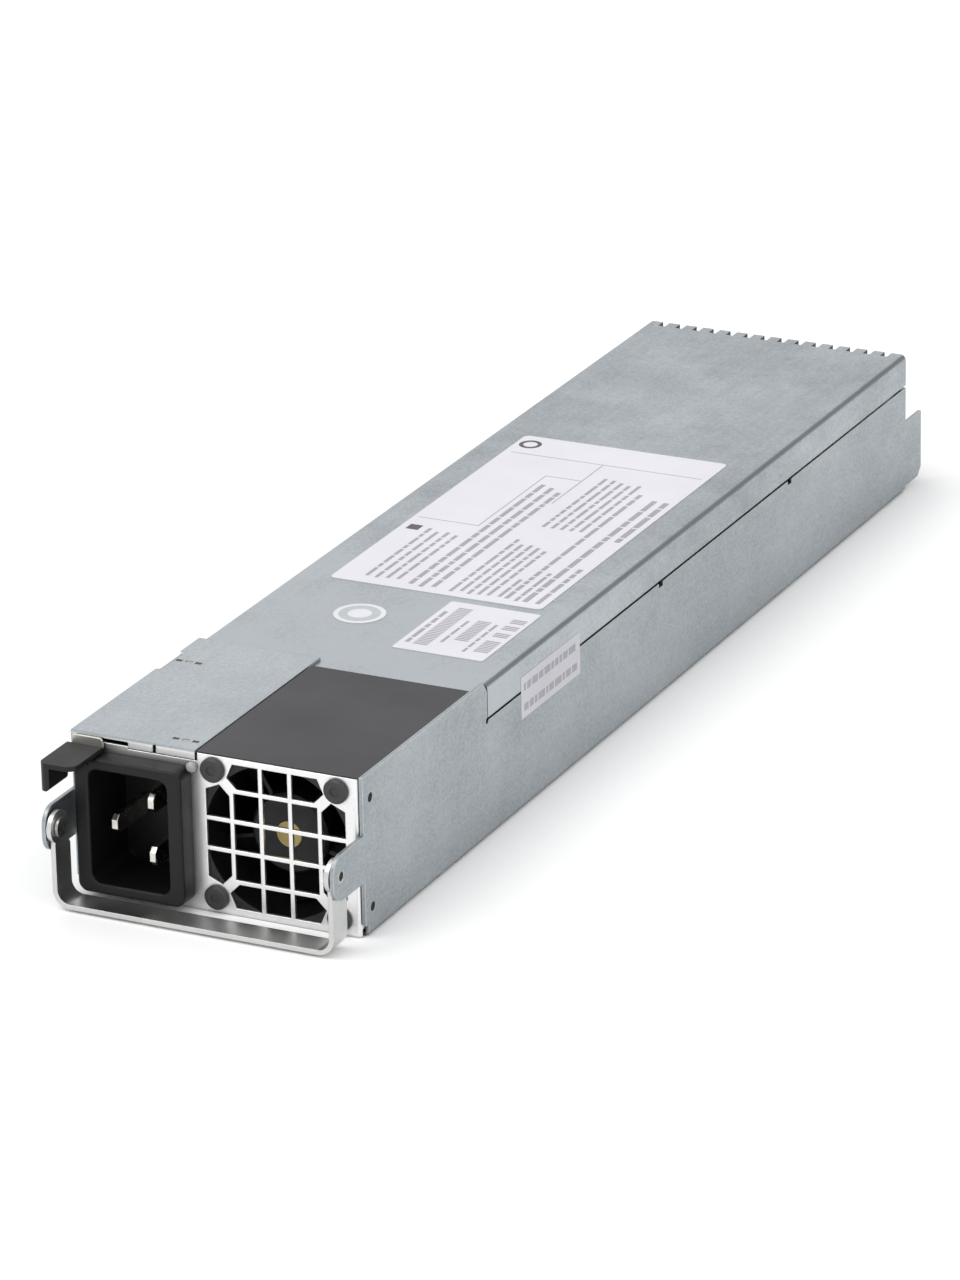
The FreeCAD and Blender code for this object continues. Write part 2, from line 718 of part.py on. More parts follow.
def rotor(label, start, blades, hand):
    """A fan rotor: open cup hub, shaft, and twisted blades lofted from root to tip."""
    body = new_body(label, fan_x, start, fan_centre_z)
    long = cell("rotor_long")
    hub = fan_hub_radius
    pad(body, "cup", "XZ", 0.0, long, circle(0.0, 0.0, hub))
    bevel_rims(body, "cup_edge", size(0.8), 0.0)
    shell = cell("rotor_shell")
    pocket(body, "cup_hollow", "XZ", 2 * shell, long, circle(0.0, 0.0, hub - shell))
    reach = cell("strut_thick") + cell("rotor_gap") - 0.3
    pad(body, "shaft", "XZ", shell, long - shell + reach, circle(0.0, 0.0, cell("shaft_radius")))
    thick = cell("blade_thick")
    sections = []
    for name, radius, sweep, chord in (("root", hub - 1.0, 3.6, 0.8), ("tip", rotor_tip_radius + 0.4, 7.0, 0.66)):
        front = long * (1 - chord) / 2
        back = long - front
        lead = size(-sweep * hand)
        trail = size(sweep * hand)
        side = thick * 0.5
        outline = lines((front, lead - side), (back, trail - side), (back, trail + side), (front, lead + side))
        sections.append(new_sketch(body, f"blade_{name}", "YZ", radius, [outline]))
    blade = body.newObject("PartDesign::AdditiveLoft", "blade")
    blade.Profile = sections[0]
    blade.Sections = [(sections[1], [""])]
    blade.Ruled = True
    polar(body, "blades", [blade], "Y", cell(blades))
    pocket(body, "tip_trim", "XZ", -1.0, long + 2.0,
           circle(0.0, 0.0, rotor_tip_radius + 6.0), circle(0.0, 0.0, rotor_tip_radius))


def bevel_rims(body, name, wide, at):
    """Bevel the circular edges that lie in the plane at y."""
    doc.recompute()
    feature = body.Tip
    names = []
    for number, edge in enumerate(feature.Shape.Edges, 1):
        box = edge.BoundBox
        if box.YLength < 0.001 and box.XLength > 1.0 and abs(box.Center.y - size(at).value) < 0.01:
            names.append(f"Edge{number}")
    made = body.newObject("PartDesign::Chamfer", name)
    made.Base = (feature, names)
    bind(made, "Size", wide)
    return made


def push_rivets():
    """Four plastic push rivets that hold the fan to the plate."""
    body = new_body("fan_push_rivets", fan_x, 0.0, fan_centre_z)
    hole = fan_hole_half
    spots = [(x, z) for x in (-hole, hole) for z in (-hole, hole)]
    tall = cell("push_head_tall")
    pad(body, "shanks", "XZ", -0.1, fan_front + cell("fan_flange") + 1.0,
        *[circle(x, z, cell("push_shank_radius")) for x, z in spots])
    pad(body, "heads", "XZ", -tall, tall, *[circle(x, z, cell("push_head_radius")) for x, z in spots])
    bevel_rims(body, "head_edges", size(0.45), -tall)
    pocket(body, "head_dimples", "XZ", -tall - 1.0, 1.35, *[circle(x, z, 1.2) for x, z in spots])


# Mains inlet


def inlet_housing():
    """The moulded inlet: a framed socket in front of the plate and a body behind it."""
    body = new_body("inlet_housing", inlet_x, 0.0, inlet_z)
    proud = cell("inlet_proud")
    half_wide = inlet_wide / 2
    half_tall = inlet_tall / 2
    rear_wide = inlet_rear_wide / 2
    rear_tall = inlet_rear_tall / 2
    pad(body, "frame", "XZ", -proud, proud - 0.05, box_loop(-half_wide, -half_tall, half_wide, half_tall))
    soften(body, "frame_corners", "y", cell("inlet_corner"),
           *[{"x": x, "z": z} for x in (-half_wide, half_wide) for z in (-half_tall, half_tall)])
    pad(body, "rear_body", "XZ", -0.1, cell("inlet_rear_deep"),
        box_loop(-rear_wide, -rear_tall, rear_wide, rear_tall))
    mouth_wide = socket_wide / 2
    mouth_tall = socket_tall / 2
    pocket(body, "socket", "XZ", -proud - 1.0, cell("socket_deep") + 1.0,
           box_loop(-mouth_wide, -mouth_tall, mouth_wide, mouth_tall))
    soften(body, "socket_corners", "y", size(2.4),
           *[{"x": x, "z": z} for x in (-mouth_wide, mouth_wide) for z in (-mouth_tall, mouth_tall)])
    soften_loop(body, "frame_edge", size(0.7), -proud)
    pocket(body, "pin_slots", "XZ", cell("socket_deep") - proud - 1.0, cell("inlet_rear_deep"),
           *[box_loop(x - half_x, z - half_z, x + half_x, z + half_z) for x, z, half_x, half_z in pin_boxes(0.02)])


def soften_loop(body, name, radius, at):
    """Round every edge that lies in the plane at y, outer frame and socket mouth alike."""
    doc.recompute()
    feature = body.Tip
    names = []
    for number, edge in enumerate(feature.Shape.Edges, 1):
        box = edge.BoundBox
        if box.YLength < 0.001 and abs(box.Center.y - size(at).value) < 0.01:
            names.append(f"Edge{number}")
    made = body.newObject("PartDesign::Fillet", name)
    made.Base = (feature, names)
    bind(made, "Radius", radius)
    return made


def pin_boxes(grow):
    """Centre and half sizes of the line, neutral and earth blades seen from the front."""
    half_x = cell("pin_thick") / 2 + grow
    half_z = cell("pin_wide") / 2 + grow
    spread = pin_spread / 2
    return ((pin_row_x, spread, half_x, half_z),
            (pin_row_x, -spread, half_x, half_z),
            (earth_row_x, size(0.0), half_x, half_z))


def inlet_pins():
    """The three blades, with tapered tips and soldering tails."""
    body = new_body("inlet_pins", inlet_x, 0.0, inlet_z)
    floor = cell("socket_deep") - cell("inlet_proud")
    start = floor - cell("pin_long")
    end = cell("inlet_rear_deep") + cell("pin_tail")
    loops = [box_loop(x - half_x, z - half_z, x + half_x, z + half_z) for x, z, half_x, half_z in pin_boxes(0.0)]
    pad(body, "blades", "XZ", start, end - start, *loops)
    places = []
    for x, z, half_x, half_z in pin_boxes(0.0):
        places.extend(({"y": start, "z": z - half_z}, {"y": start, "z": z + half_z}))
    soften(body, "tips", "x", size(1.2), *places, kind="Chamfer")


def status_light():
    """The status light, a clear dome in the plate."""
    body = new_body("status_light", led_x, 0.0, led_z)
    radius = cell("led_radius")
    pad(body, "barrel", "XZ", -1.6, 4.4, circle(0.0, 0.0, radius))
    pad(body, "collar", "XZ", cell("plate_sheet") + 0.05, 1.0, circle(0.0, 0.0, radius + 0.15))
    bevel_rims(body, "dome", radius * 0.5, -1.6)


# Handle


def handle():
    """The bail: one bent strap with an eye at each end."""
    body = new_body("handle")
    front = -cell("strap_front")
    rear = front + cell("strap_wide")
    under = cell("strap_under")
    top = under + cell("strap_thick")
    pad(body, "crossbar", "XY", under, cell("strap_thick"),
        box_loop(-strap_outside, front, strap_outside, rear))
    eye_y = -cell("pivot_reach")
    eye_z = pivot_z
    for name, start in (("right", strap_inside), ("left", -strap_outside)):
        pad(body, f"{name}_leg", "YZ", start, cell("strap_thick"),
            lines((front, under), (rear, under), (rear, eye_z - 5.6), (eye_y + 1.6, eye_z - 1.0), (front, eye_z)))
        pad(body, f"{name}_eye", "YZ", start, cell("strap_thick"), circle(eye_y, eye_z, cell("eye_radius")))
    bend = cell("strap_bend")
    soften(body, "inner_bends", "y", bend - cell("strap_thick"),
           {"x": strap_inside, "z": top}, {"x": -strap_inside, "z": top})
    soften(body, "outer_bends", "y", bend, {"x": strap_outside, "z": under}, {"x": -strap_outside, "z": under})
    pocket(body, "eye_holes", "YZ", -half_width, cell("width"),
           circle(eye_y, eye_z, cell("handle_rivet_radius") + cell("running_fit")))


def handle_rivets():
    """Two semi-tubular rivets through the ears that carry the handle."""
    body = new_body("handle_rivets", 0.0, -cell("pivot_reach"), pivot_z)
    radius = cell("handle_rivet_radius")
    head_seat = strap_inside - 0.2
    head = head_seat - cell("rivet_head_tall")
    for side, sign in (("right", 1), ("left", -1)):
        start = head if sign > 0 else -half_width
        pad(body, f"{side}_shank", "YZ", start, half_width - head, circle(0.0, 0.0, radius))
        start = head if sign > 0 else -head_seat
        pad(body, f"{side}_head", "YZ", start, cell("rivet_head_tall"),
            circle(0.0, 0.0, cell("handle_rivet_head")))
        start = half_width - 1.6 if sign > 0 else -half_width - 0.4
        pocket(body, f"{side}_bore", "YZ", start, 2.0, circle(0.0, 0.0, radius - 0.5))


# Latch


def latch_leaf():
    """The spring steel leaf with its neck, front tongue and wedge catch."""
    body = new_body("latch_leaf")
    thick = cell("leaf_thick")
    low = leaf_low_z
    front = -cell("leaf_front")
    start = cell("neck_start")
    pad(body, "leaf", "YZ", leaf_outside, thick, lines(
        (cell("leaf_root"), low),
        (cell("leaf_root"), leaf_high_z),
        (start + 16.0, leaf_high_z),
        (start + 11.0, neck_high_z),
        (front, neck_high_z),
        (front, neck_low_z),
        (start, neck_low_z),
        (start, low + 3.0),
        (start + 3.0, low)))
    tongue_end = leaf_outside + cell("tongue_wide")
    pad(body, "tongue", "XZ", front, thick,
        box_loop(leaf_outside, neck_low_z, tongue_end, tongue_high_z))
    soften(body, "tongue_corners", "y", size(1.2),
           {"x": tongue_end, "z": neck_low_z}, {"x": tongue_end, "z": tongue_high_z})
    catch_start = cell("catch_y")
    catch_end = catch_start + cell("catch_long")
    tip = -half_width - cell("catch_proud")
    pad(body, "catch", "XY", catch_low_z, cell("catch_tall"),
        lines((leaf_outside + 0.1, catch_start), (leaf_outside + 0.1, catch_end), (leaf_outside, catch_end),
              (tip, catch_start + 1.0), (tip, catch_start)))
    pocket(body, "rivet_holes", "YZ", leaf_outside - 1.0, thick + 2.0,
           *[circle(latch_rivet_y, z, cell("latch_rivet_radius") + 0.1) for z in latch_rivet_heights()])


def latch_touch():
    """The moulded finger tab on the front of the latch leaf."""
    body = new_body("latch_touch")
    rear = -cell("leaf_front") - 0.02
    front = rear - cell("touch_deep")
    left = leaf_outside - 1.4
    right = left + cell("touch_wide")
    top = neck_low_z + cell("touch_plate")
    pad(body, "top_plate", "XY", top - cell("touch_plate"), cell("touch_plate"), box_loop(left, front, right, rear))
    clear = -cell("inlet_proud") - 0.9
    pad(body, "side_wall", "XY", top - cell("touch_tall"), cell("touch_tall"),
        box_loop(left, front, left + cell("touch_side"), clear))
    pad(body, "stop_rib", "XZ", clear - 1.2, 1.2,
        box_loop(left + 0.5, top - cell("touch_plate") - 1.4, right - 1.0, top - 0.2))
    soften(body, "front_corners", "z", size(2.0), {"x": left, "y": front})
    soften(body, "far_corner", "z", size(2.6), {"x": right, "y": front})
    soften(body, "lower_edge", "y", size(1.2), {"x": left + cell("touch_side"), "z": top - cell("touch_tall")})


def latch_rivets():
    """Two rivets that hold the latch leaf to the left wall."""
    body = new_body("latch_rivets")
    radius = cell("latch_rivet_radius")
    head_start = leaf_inside + 0.5
    spots = [(latch_rivet_y, z) for z in latch_rivet_heights()]
    pad(body, "shanks", "YZ", -half_width, head_start + 0.1 + half_width, *[circle(y, z, radius) for y, z in spots])
    pad(body, "heads", "YZ", head_start, cell("rivet_head_tall"), *[circle(y, z, radius + 0.8) for y, z in spots])


# Circuit board


def insulation_sheet():
    """Insulating sheet between the floor and the board."""
    body = new_body("insulation_sheet")
    side = wall_inside - 1.0
    pad(body, "sheet", "XY", base_sheet, cell("insulator_thick"),
        box_loop(-side, cell("board_start") - 3.0, side, housing_end - 2.0))
    pocket(body, "standoff_holes", "XY", base_sheet - 1.0, cell("insulator_thick") + 2.0,
           *[circle(x, y, cell("standoff_radius") + 0.2) for x, y in standoff_places()])


def main_board():
    """The circuit board, with the plug tongue that reaches past the housing."""
    body = new_body("main_board")
    side = wall_inside - cell("board_side_gap")
    tongue = tongue_board_wide / 2
    shoulder = housing_end - 1.5
    pad(body, "board", "XY", cell("board_z"), cell("board_thick"), lines(
        (-side, cell("board_start")),
        (side, cell("board_start")),
        (side, shoulder),
        (tongue, shoulder),
        (tongue, board_rear - 1.0),
        (tongue - 1.0, board_rear),
        (-tongue + 1.0, board_rear),
        (-tongue, board_rear - 1.0),
        (-tongue, shoulder),
        (-side, shoulder)))
    pocket(body, "key_slot", "XY", cell("board_z") - 1.0, cell("board_thick") + 2.0,
           box_loop(contact_pitch * 2 - 0.4, board_rear - 9.0, contact_pitch * 2 + 0.4, board_rear + 1.0))
    pocket(body, "screw_holes", "XY", cell("board_z") - 1.0, cell("board_thick") + 2.0,
           *[circle(x, y, cell("standoff_screw_radius") + 0.15) for x, y in standoff_places()])


def edge_contacts():
    """Gold contacts on both faces of the plug tongue."""
    body = new_body("edge_contacts")
    half = contact_wide / 2
    first = -contact_pitch * (cell("contact_count") - 1) / 2
    rear = board_rear - 1.2
    thick = cell("contact_thick")
    loop = box_loop(first - half, rear - cell("contact_long"), first + half, rear)
    upper = pad(body, "upper_contact", "XY", board_top, thick, loop)
    lower = pad(body, "lower_contact", "XY", cell("board_z") - thick, thick, loop)
    row(body, "contacts", [upper, lower], "X", contact_pitch, cell("contact_count"))


def board_standoffs():
    """Threaded standoffs between the floor and the board."""
    body = new_body("board_standoffs")
    tall = cell("board_z") - base_sheet
    pad(body, "posts", "XY", base_sheet, tall, *[circle(x, y, cell("standoff_radius")) for x, y in standoff_places()])
    pocket(body, "threads", "XY", base_sheet + 0.6, tall,
           *[circle(x, y, cell("standoff_screw_radius") + cell("rivet_fit")) for x, y in standoff_places()])


def board_screws():
    """Screws that hold the board on its standoffs."""
    body = new_body("board_screws")
    pad(body, "shanks", "XY", board_top - cell("board_thick") - 3.0, cell("board_thick") + 3.1,
        *[circle(x, y, cell("standoff_screw_radius")) for x, y in standoff_places()])
    pad(body, "heads", "XY", board_top, 1.8,
        *[circle(x, y, cell("standoff_screw_radius") * 2) for x, y in standoff_places()])
    pocket(body, "drives", "XY", board_top + 0.8, 2.0,
           *[box_loop(x - half_x, y - half_y, x + half_x, y + half_y)
             for x, y in standoff_places() for half_x, half_y in ((1.3, 0.25),)])


# Wires


def primitive(kind, name, x, y, z, axis, angle, **sizes):
    """A Part primitive, turned about an axis and placed and sized from the sheet."""
    made = doc.addObject(kind, name)
    made.Placement.Rotation = FreeCAD.Rotation(FreeCAD.Vector(*axis), angle)
    for letter, length in (("x", x), ("y", size(y) - tab_end / 2), ("z", z)):
        bind(made, f"Placement.Base.{letter}", length)
    for prop, length in sizes.items():
        bind(made, prop, length)
    return made


def wire(name, x, z, start, land_y, land_z, radius, bend):
    """A round wire that runs back at height z, turns down and ends on its land."""
    turn = land_y - bend
    drop_top = z - bend
    back = primitive("Part::Cylinder", name + "_run", x, start, z, (1, 0, 0), -90, Radius=radius,
                     Height=turn - start)
    arc = primitive("Part::Torus", name + "_bend", x, turn, drop_top, (0, 1, 0), -90, Radius1=bend, Radius2=radius)
    arc.Angle3 = 90
    drop = primitive("Part::Cylinder", name + "_drop", x, land_y, land_z, (1, 0, 0), 0, Radius=radius,
                     Height=drop_top - land_z)
    fused = doc.addObject("Part::MultiFuse", name)
    fused.Shapes = [back, arc, drop]
    return fused


def inlet_wires():
    """Line, neutral and earth wires from the inlet's tails to the board."""
    start = cell("inlet_rear_deep") + cell("pin_tail") + 0.1
    radius = cell("wire_radius")
    bend = cell("wire_bend")
    spread = pin_spread / 2
    pair_x = inlet_x + pin_row_x
    earth_x = inlet_x + earth_row_x
    land = board_top + 0.05
    land_y = cell("board_start") + 6.0
    low = inlet_z - spread
    sub_parts.append(wire("wire_neutral", pair_x, low, start, land_y, land, radius, (low - board_top) * 0.6))
    sub_parts.append(wire("wire_line", pair_x, inlet_z + spread, start, land_y + 6.0, land, radius, bend))
    sub_parts.append(wire("wire_earth", earth_x, inlet_z, start, land_y + 3.0, land, radius, bend))


def fan_leads():
    """Four thin leads from the fan to its socket."""
    wires = []
    for index in range(4):
        x = fan_x + (index - 1.5) * cell("fan_lead_pitch")
        wires.append(wire(f"fan_lead_{index + 1}", x, fan_centre_z - 2.0, fan_end + 0.1, cell("board_start") + 6.0,
                          board_top + 7.1, cell("fan_lead_radius"), size(1.6)))
    group = doc.addObject("Part::Compound", "fan_leads")
    group.Links = wires
    sub_parts.append(group)


def fan_socket():
    """Board socket for the fan leads."""
    body = new_body("fan_socket", fan_x, cell("board_start") + 6.0, board_top)
    half = cell("fan_lead_pitch") * 2 + 1.4
    pad(body, "case", "XY", 0.0, 7.0, box_loop(-half, -3.0, half, 3.0))
    soften(body, "case_edges", "z", size(0.6), *[{"x": x, "y": y} for x in (-half, half) for y in (-3.0, 3.0)])
    pad(body, "ramp", "XZ", -3.8, 0.9, box_loop(-2.0, 0.0, 2.0, 5.0))


# Parts on the board


def plain_case(label, x, y, wide, deep, tall, rounding):
    """A box shaped part standing on the board on short legs."""
    body = new_body(label, x, y, board_top)
    half_x = size(wide) / 2
    half_y = size(deep) / 2
    pad(body, "case", "XY", 0.6, tall, box_loop(-half_x, -half_y, half_x, half_y))
    soften(body, "case_edges", "z", size(rounding),
           *[{"x": sx, "y": sy} for sx in (-half_x, half_x) for sy in (-half_y, half_y)])
    pad(body, "legs", "XY", 0.0, 0.7, *[circle(s, 0.0, 0.5) for s in (-half_x + 2.0, half_x - 2.0)])
    return body


def fuse():
    """Ceramic cartridge fuse with metal caps, lying across the board."""
    body = new_body("fuse", -half_width * 0.526, along(19.5), board_top + 3.2)
    pad(body, "tube", "YZ", -10.0, 20.0, circle(0.0, 0.0, 2.4))
    for name, start in (("left", -11.0), ("right", 6.0)):
        pad(body, f"{name}_cap", "YZ", start, 5.0, circle(0.0, 0.0, 2.8))
        pad(body, f"{name}_leg", "YZ", start + 2.2, 0.8, box_loop(-1.2, -3.2, 1.2, 0.0))


def filter_capacitors():
    """Two boxed film capacitors across the mains input."""
    body = plain_case("filter_capacitors", half_width * 0.674, along(18.0), half_width * 0.395, 8.0, 15.0, 0.8)
    row(body, "pair", [item for item in body.Group if item.TypeId == "PartDesign::Pad"], "Y", size(11.0), size(2))


def toroid(label, x, y, outside, inside, tall):
    """A ring core lying on the board."""
    body = new_body(label, x, y, board_top + 1.4)
    ring = pad(body, "ring", "XY", 0.0, tall, circle(0.0, 0.0, outside), circle(0.0, 0.0, inside))
    doc.recompute()
    edges = [f"Edge{number}" for number, edge in enumerate(ring.Shape.Edges, 1)
             if edge.BoundBox.ZLength < 0.001 and abs(edge.BoundBox.Center.z - size(tall).value) < 0.01]
    bevel = body.newObject("PartDesign::Chamfer", "upper_edges")
    bevel.Base = (ring, edges)
    bind(bevel, "Size", size(0.8))


def toroid_winding(label, x, y, outside, inside, tall, turns, wire_thick):
    """Turns of wire around a ring core, each a closed rectangular loop."""
    body = new_body(label, x, y, board_top + 1.4)
    half = size(wire_thick) / 2
    clear = size(0.1)
    inner = size(inside) - clear - wire_thick
    outer = size(outside) + clear + wire_thick
    turn = pad(body, "turn", "XZ", -half, wire_thick,
               box_loop(inner, -clear - wire_thick, outer, size(tall) + clear + wire_thick),
               box_loop(inner + wire_thick, -clear, outer - wire_thick, size(tall) + clear))
    polar(body, "turns", [turn], "Z", size(turns))


def bulk_capacitors():
    """Two large electrolytic capacitors lying side by side."""
    radius = bulk_radius
    body = new_body("bulk_capacitors", 0.0, along(36.0), board_top + radius + 0.3)
    spots = [(radius + 1.0, 0.0), (-radius - 1.0, 0.0)]
    long = bulk_long
    pad(body, "cans", "XZ", 0.0, long, *[circle(x, z, radius) for x, z in spots])
    bevel_rims(body, "can_edges", size(1.2), long)
    pocket(body, "end_recess", "XZ", -1.0, 1.6, *[circle(x, z, radius - 1.4) for x, z in spots])
    pad(body, "terminals", "XZ", -2.6, 3.4, *[circle(x + s, z, 0.8) for x, z in spots for s in (-5.0, 5.0)])


def heatsink(label, x, y, long, tall, fins, fin_reach):
    """A finned heat sink standing along the board."""
    body = new_body(label, x, y, board_top + 0.4)
    thick = cell("fin_root")
    pad(body, "plate", "XZ", 0.0, long, box_loop(0.0, 0.0, thick, tall))
    fin = pad(body, "fin", "XZ", 0.0, long, box_loop(-size(fin_reach), 3.0, 0.1, 4.2))
    row(body, "fins", [fin], "Z", (size(tall) - 5.0) / (fins - 1), size(fins))
    pad(body, "feet", "XY", -0.4, 1.0, box_loop(0.0, 1.0, thick, 4.0), box_loop(0.0, long - 4.0, thick, long - 1.0))


def transistors(label, x, y, count, pitch):
    """Flat power transistors against a heat sink, with three bent legs each."""
    body = new_body(label, x, y, board_top)
    case = pad(body, "case", "YZ", 0.0, 4.8, box_loop(0.0, 6.0, 15.6, room - 2.0))
    tab = pad(body, "tab", "YZ", 0.0, 1.8, box_loop(1.0, room - 3.0, 14.6, room - 0.6))
    legs = pad(body, "legs", "YZ", 2.2, 0.7, *[box_loop(s, 0.0, s + 1.2, 7.0) for s in (1.7, 7.2, 12.7)])
    row(body, "transistors", [case, tab, legs], "Y", size(pitch), size(count))


def bridge_rectifier():
    """Flat bridge rectifier with four legs."""
    body = new_body("bridge_rectifier", half_width * 0.71, along(90.0), board_top)
    top = room - 6.0
    pad(body, "case", "YZ", 0.0, 4.6, box_loop(0.0, 4.0, 28.0, top))
    soften(body, "case_corner", "x", size(3.0), {"y": 28.0, "z": top})
    pad(body, "legs", "YZ", 1.9, 0.8, *[box_loop(s, 0.0, s + 1.4, 5.0) for s in (2.0, 9.5, 17.0, 24.5)])


def transformer_core():
    """Ferrite core with two windows around its middle leg."""
    body = new_body("transformer_core", transformer_x, along(145.0), board_top + 2.6)
    half_x = core_wide / 2
    half_y = cell("core_deep") / 2
    leg = cell("core_leg") / 2
    window = cell("core_window")
    half_window = cell("core_window_deep") / 2
    pad(body, "core", "XY", 0.0, core_tall, box_loop(-half_x, -half_y, half_x, half_y),
        box_loop(leg, -half_window, leg + window, half_window),
        box_loop(-leg - window, -half_window, -leg, half_window))
    soften(body, "core_edges", "z", size(1.0), *[{"x": x, "y": y} for x in (-half_x, half_x) for y in (-half_y, half_y)])


def transformer_winding():
    """Taped winding on the core's middle leg, with its pin rails."""
    body = new_body("transformer_winding", transformer_x, along(145.0), board_top + 2.6)
    leg = cell("core_leg") / 2 + 0.1
    outer = cell("core_leg") / 2 + cell("core_window") - 0.3
    half_long = cell("core_window_deep") / 2 - 0.2
    tall = core_tall
    pad(body, "winding", "XZ", -half_long, half_long * 2,
        box_loop(-outer, -2.4, outer, tall + 2.4), box_loop(-leg, -0.1, leg, tall + 0.1))
    soften(body, "winding_edges", "y", size(1.6), {"x": outer, "z": tall + 2.4}, {"x": -outer, "z": tall + 2.4})
    pad(body, "pins", "XY", -2.6, 0.4, *[circle(x, y, 0.6) for x in (-9.0, -3.0, 3.0, 9.0) for y in (-7.0, 7.0)])


def output_choke():
    """Moulded output choke block with a flat copper strap at each end."""
    body = new_body("output_choke", -half_width * 0.526, along(186.0), board_top)
    side = half_width * 0.29
    pad(body, "block", "XY", 0.4, room * 0.65, box_loop(-side, -10.0, side, 10.0))
    soften(body, "block_edges", "z", size(1.2), *[{"x": x, "y": y} for x in (-side, side) for y in (-10.0, 10.0)])
    pad(body, "straps", "XY", 0.0, 9.0, box_loop(-4.0, -11.4, 4.0, -9.9), box_loop(-4.0, 9.9, 4.0, 11.4))


def output_capacitors():
    """Two rows of upright output capacitors."""
    pitch = capacitor_pitch
    radius = capacitor_radius
    body = new_body("output_capacitors", 0.0, along(212.0), board_top)
    first = -pitch * 2
    tall = capacitor_tall
    can = pad(body, "can", "XY", 0.0, tall, circle(first, 0.0, radius), circle(first, pitch, radius))
    row(body, "rows", [can], "X", pitch, size(5))


def control_board():
    """Upright control board with its chips and header."""
    body = new_body("control_board", half_width * 0.737, along(134.0), board_top)
    pad(body, "board", "YZ", 0.0, 1.6, box_loop(0.0, 1.0, 52.0, room - 1.0))
    chip = room * 0.25
    pad(body, "chips", "YZ", -1.0, 1.1, box_loop(6.0, chip, 18.0, chip + 12.0),
        box_loop(26.0, chip + 2.0, 33.0, chip + 9.0), box_loop(38.0, chip, 46.0, chip + 12.0))
    pad(body, "header", "YZ", -2.0, 5.6, box_loop(4.0, 0.0, 48.0, 2.6))


# Labels


def sheet_label(label, x0, y0, x1, y1, corner):
    """A blank label lying on the cover."""
    body = new_body(label)
    pad(body, "sheet", "XY", cover_top, cell("label_thick"), box_loop(x0, y0, x1, y1))
    soften(body, "corners", "z", size(corner), *[{"x": x, "y": y} for x in (x0, x1) for y in (y0, y1)])


def round_label():
    """A round blank sticker on the cover."""
    body = new_body("round_label")
    pad(body, "sheet", "XY", cover_top, cell("label_thick"), circle(-10.5, 94.8, 6.5))


def seal_label():
    """A clear seal across the seam on the right side."""
    body = new_body("seal_label")
    pad(body, "sheet", "YZ", half_width, cell("label_thick") / 2, box_loop(83.8, 23.2, 117.0, seam_z + 3.4))


def build():
    """Build every sub-part."""
    base_shell()
    front_plate()
    inlet_cover_plate()
    top_cover()
    film_top = fan_centre_z + fan_half + cell("film_gap")
    film("fan_film_upper", film_top, seam_x + 0.4, wall_inside - 0.15, 0.1, fan_end + 1.1)
    film("fan_film_lower", fan_centre_z - fan_half - cell("film_gap") - cell("film_sheet"),
         fan_x - fan_half - 0.3, fan_x + fan_half + 0.3, fan_front, fan_end + 0.7)
    long = cell("fan_long")
    fan_frame("fan_frame_front", fan_front, long - cell("strut_thick") - 0.2, 8, 3.0)
    fan_frame("fan_frame_rear", fan_front + long + 0.2, long - cell("strut_thick") - 0.2, 6, -3.0)
    rotor_start = fan_front + long - cell("strut_thick") - 0.2 - cell("rotor_gap") - cell("rotor_long")
    rotor("fan_rotor_front", rotor_start, "front_blades", 1)
    rotor("fan_rotor_rear", rotor_start + long + 0.2, "rear_blades", -1)
    push_rivets()
    inlet_housing()
    inlet_pins()
    status_light()
    handle()
    handle_rivets()
    latch_leaf()
    latch_touch()
    latch_rivets()
    insulation_sheet()
    main_board()
    edge_contacts()
    board_standoffs()
    board_screws()
    inlet_wires()
    fan_leads()
    fan_socket()
    fuse()
    plain_case("relay", -half_width * 0.63, along(29.0), half_width * 0.395, 9.0, 12.0, 0.5)
    filter_capacitors()
    filter_ring = (4.0, along(24.0), half_width * 0.237, half_width * 0.121, 8.0)
    toroid("filter_choke_core", *filter_ring)
    toroid_winding("filter_choke_winding", *filter_ring, 12, 0.9)
    bulk_capacitors()
    boost_ring = (-half_width * 0.474, along(103.0), half_width * 0.358, half_width * 0.184, room * 0.46)
    toroid("boost_choke_core", *boost_ring)
    toroid_winding("boost_choke_winding", *boost_ring, 22, 1.1)
    sink_x = half_width * 0.316
    heatsink("input_heatsink", sink_x, along(88.0), 34.0, room, 5, half_width * 0.263)
    transistors("input_transistors", sink_x + cell("fin_root") + 0.05, along(88.6), 2, 16.8)
    bridge_rectifier()
    transformer_core()
    transformer_winding()
    control_board()
    sink_x = half_width * 0.368
    heatsink("output_heatsink", sink_x, along(170.0), 32.0, room - 2.0, 5, half_width * 0.237)
    transistors("output_transistors", sink_x + cell("fin_root") + 0.05, along(169.8), 2, 16.2)
    output_choke()
    output_capacitors()
    sheet_label("rating_label", -half_width * 0.755, 114.2, half_width * 0.763, 226.8, 1.5)
    sheet_label("small_label", half_width * 0.171, 78.0, half_width * 0.81, 111.0, 0.8)
    round_label()
    seal_label()


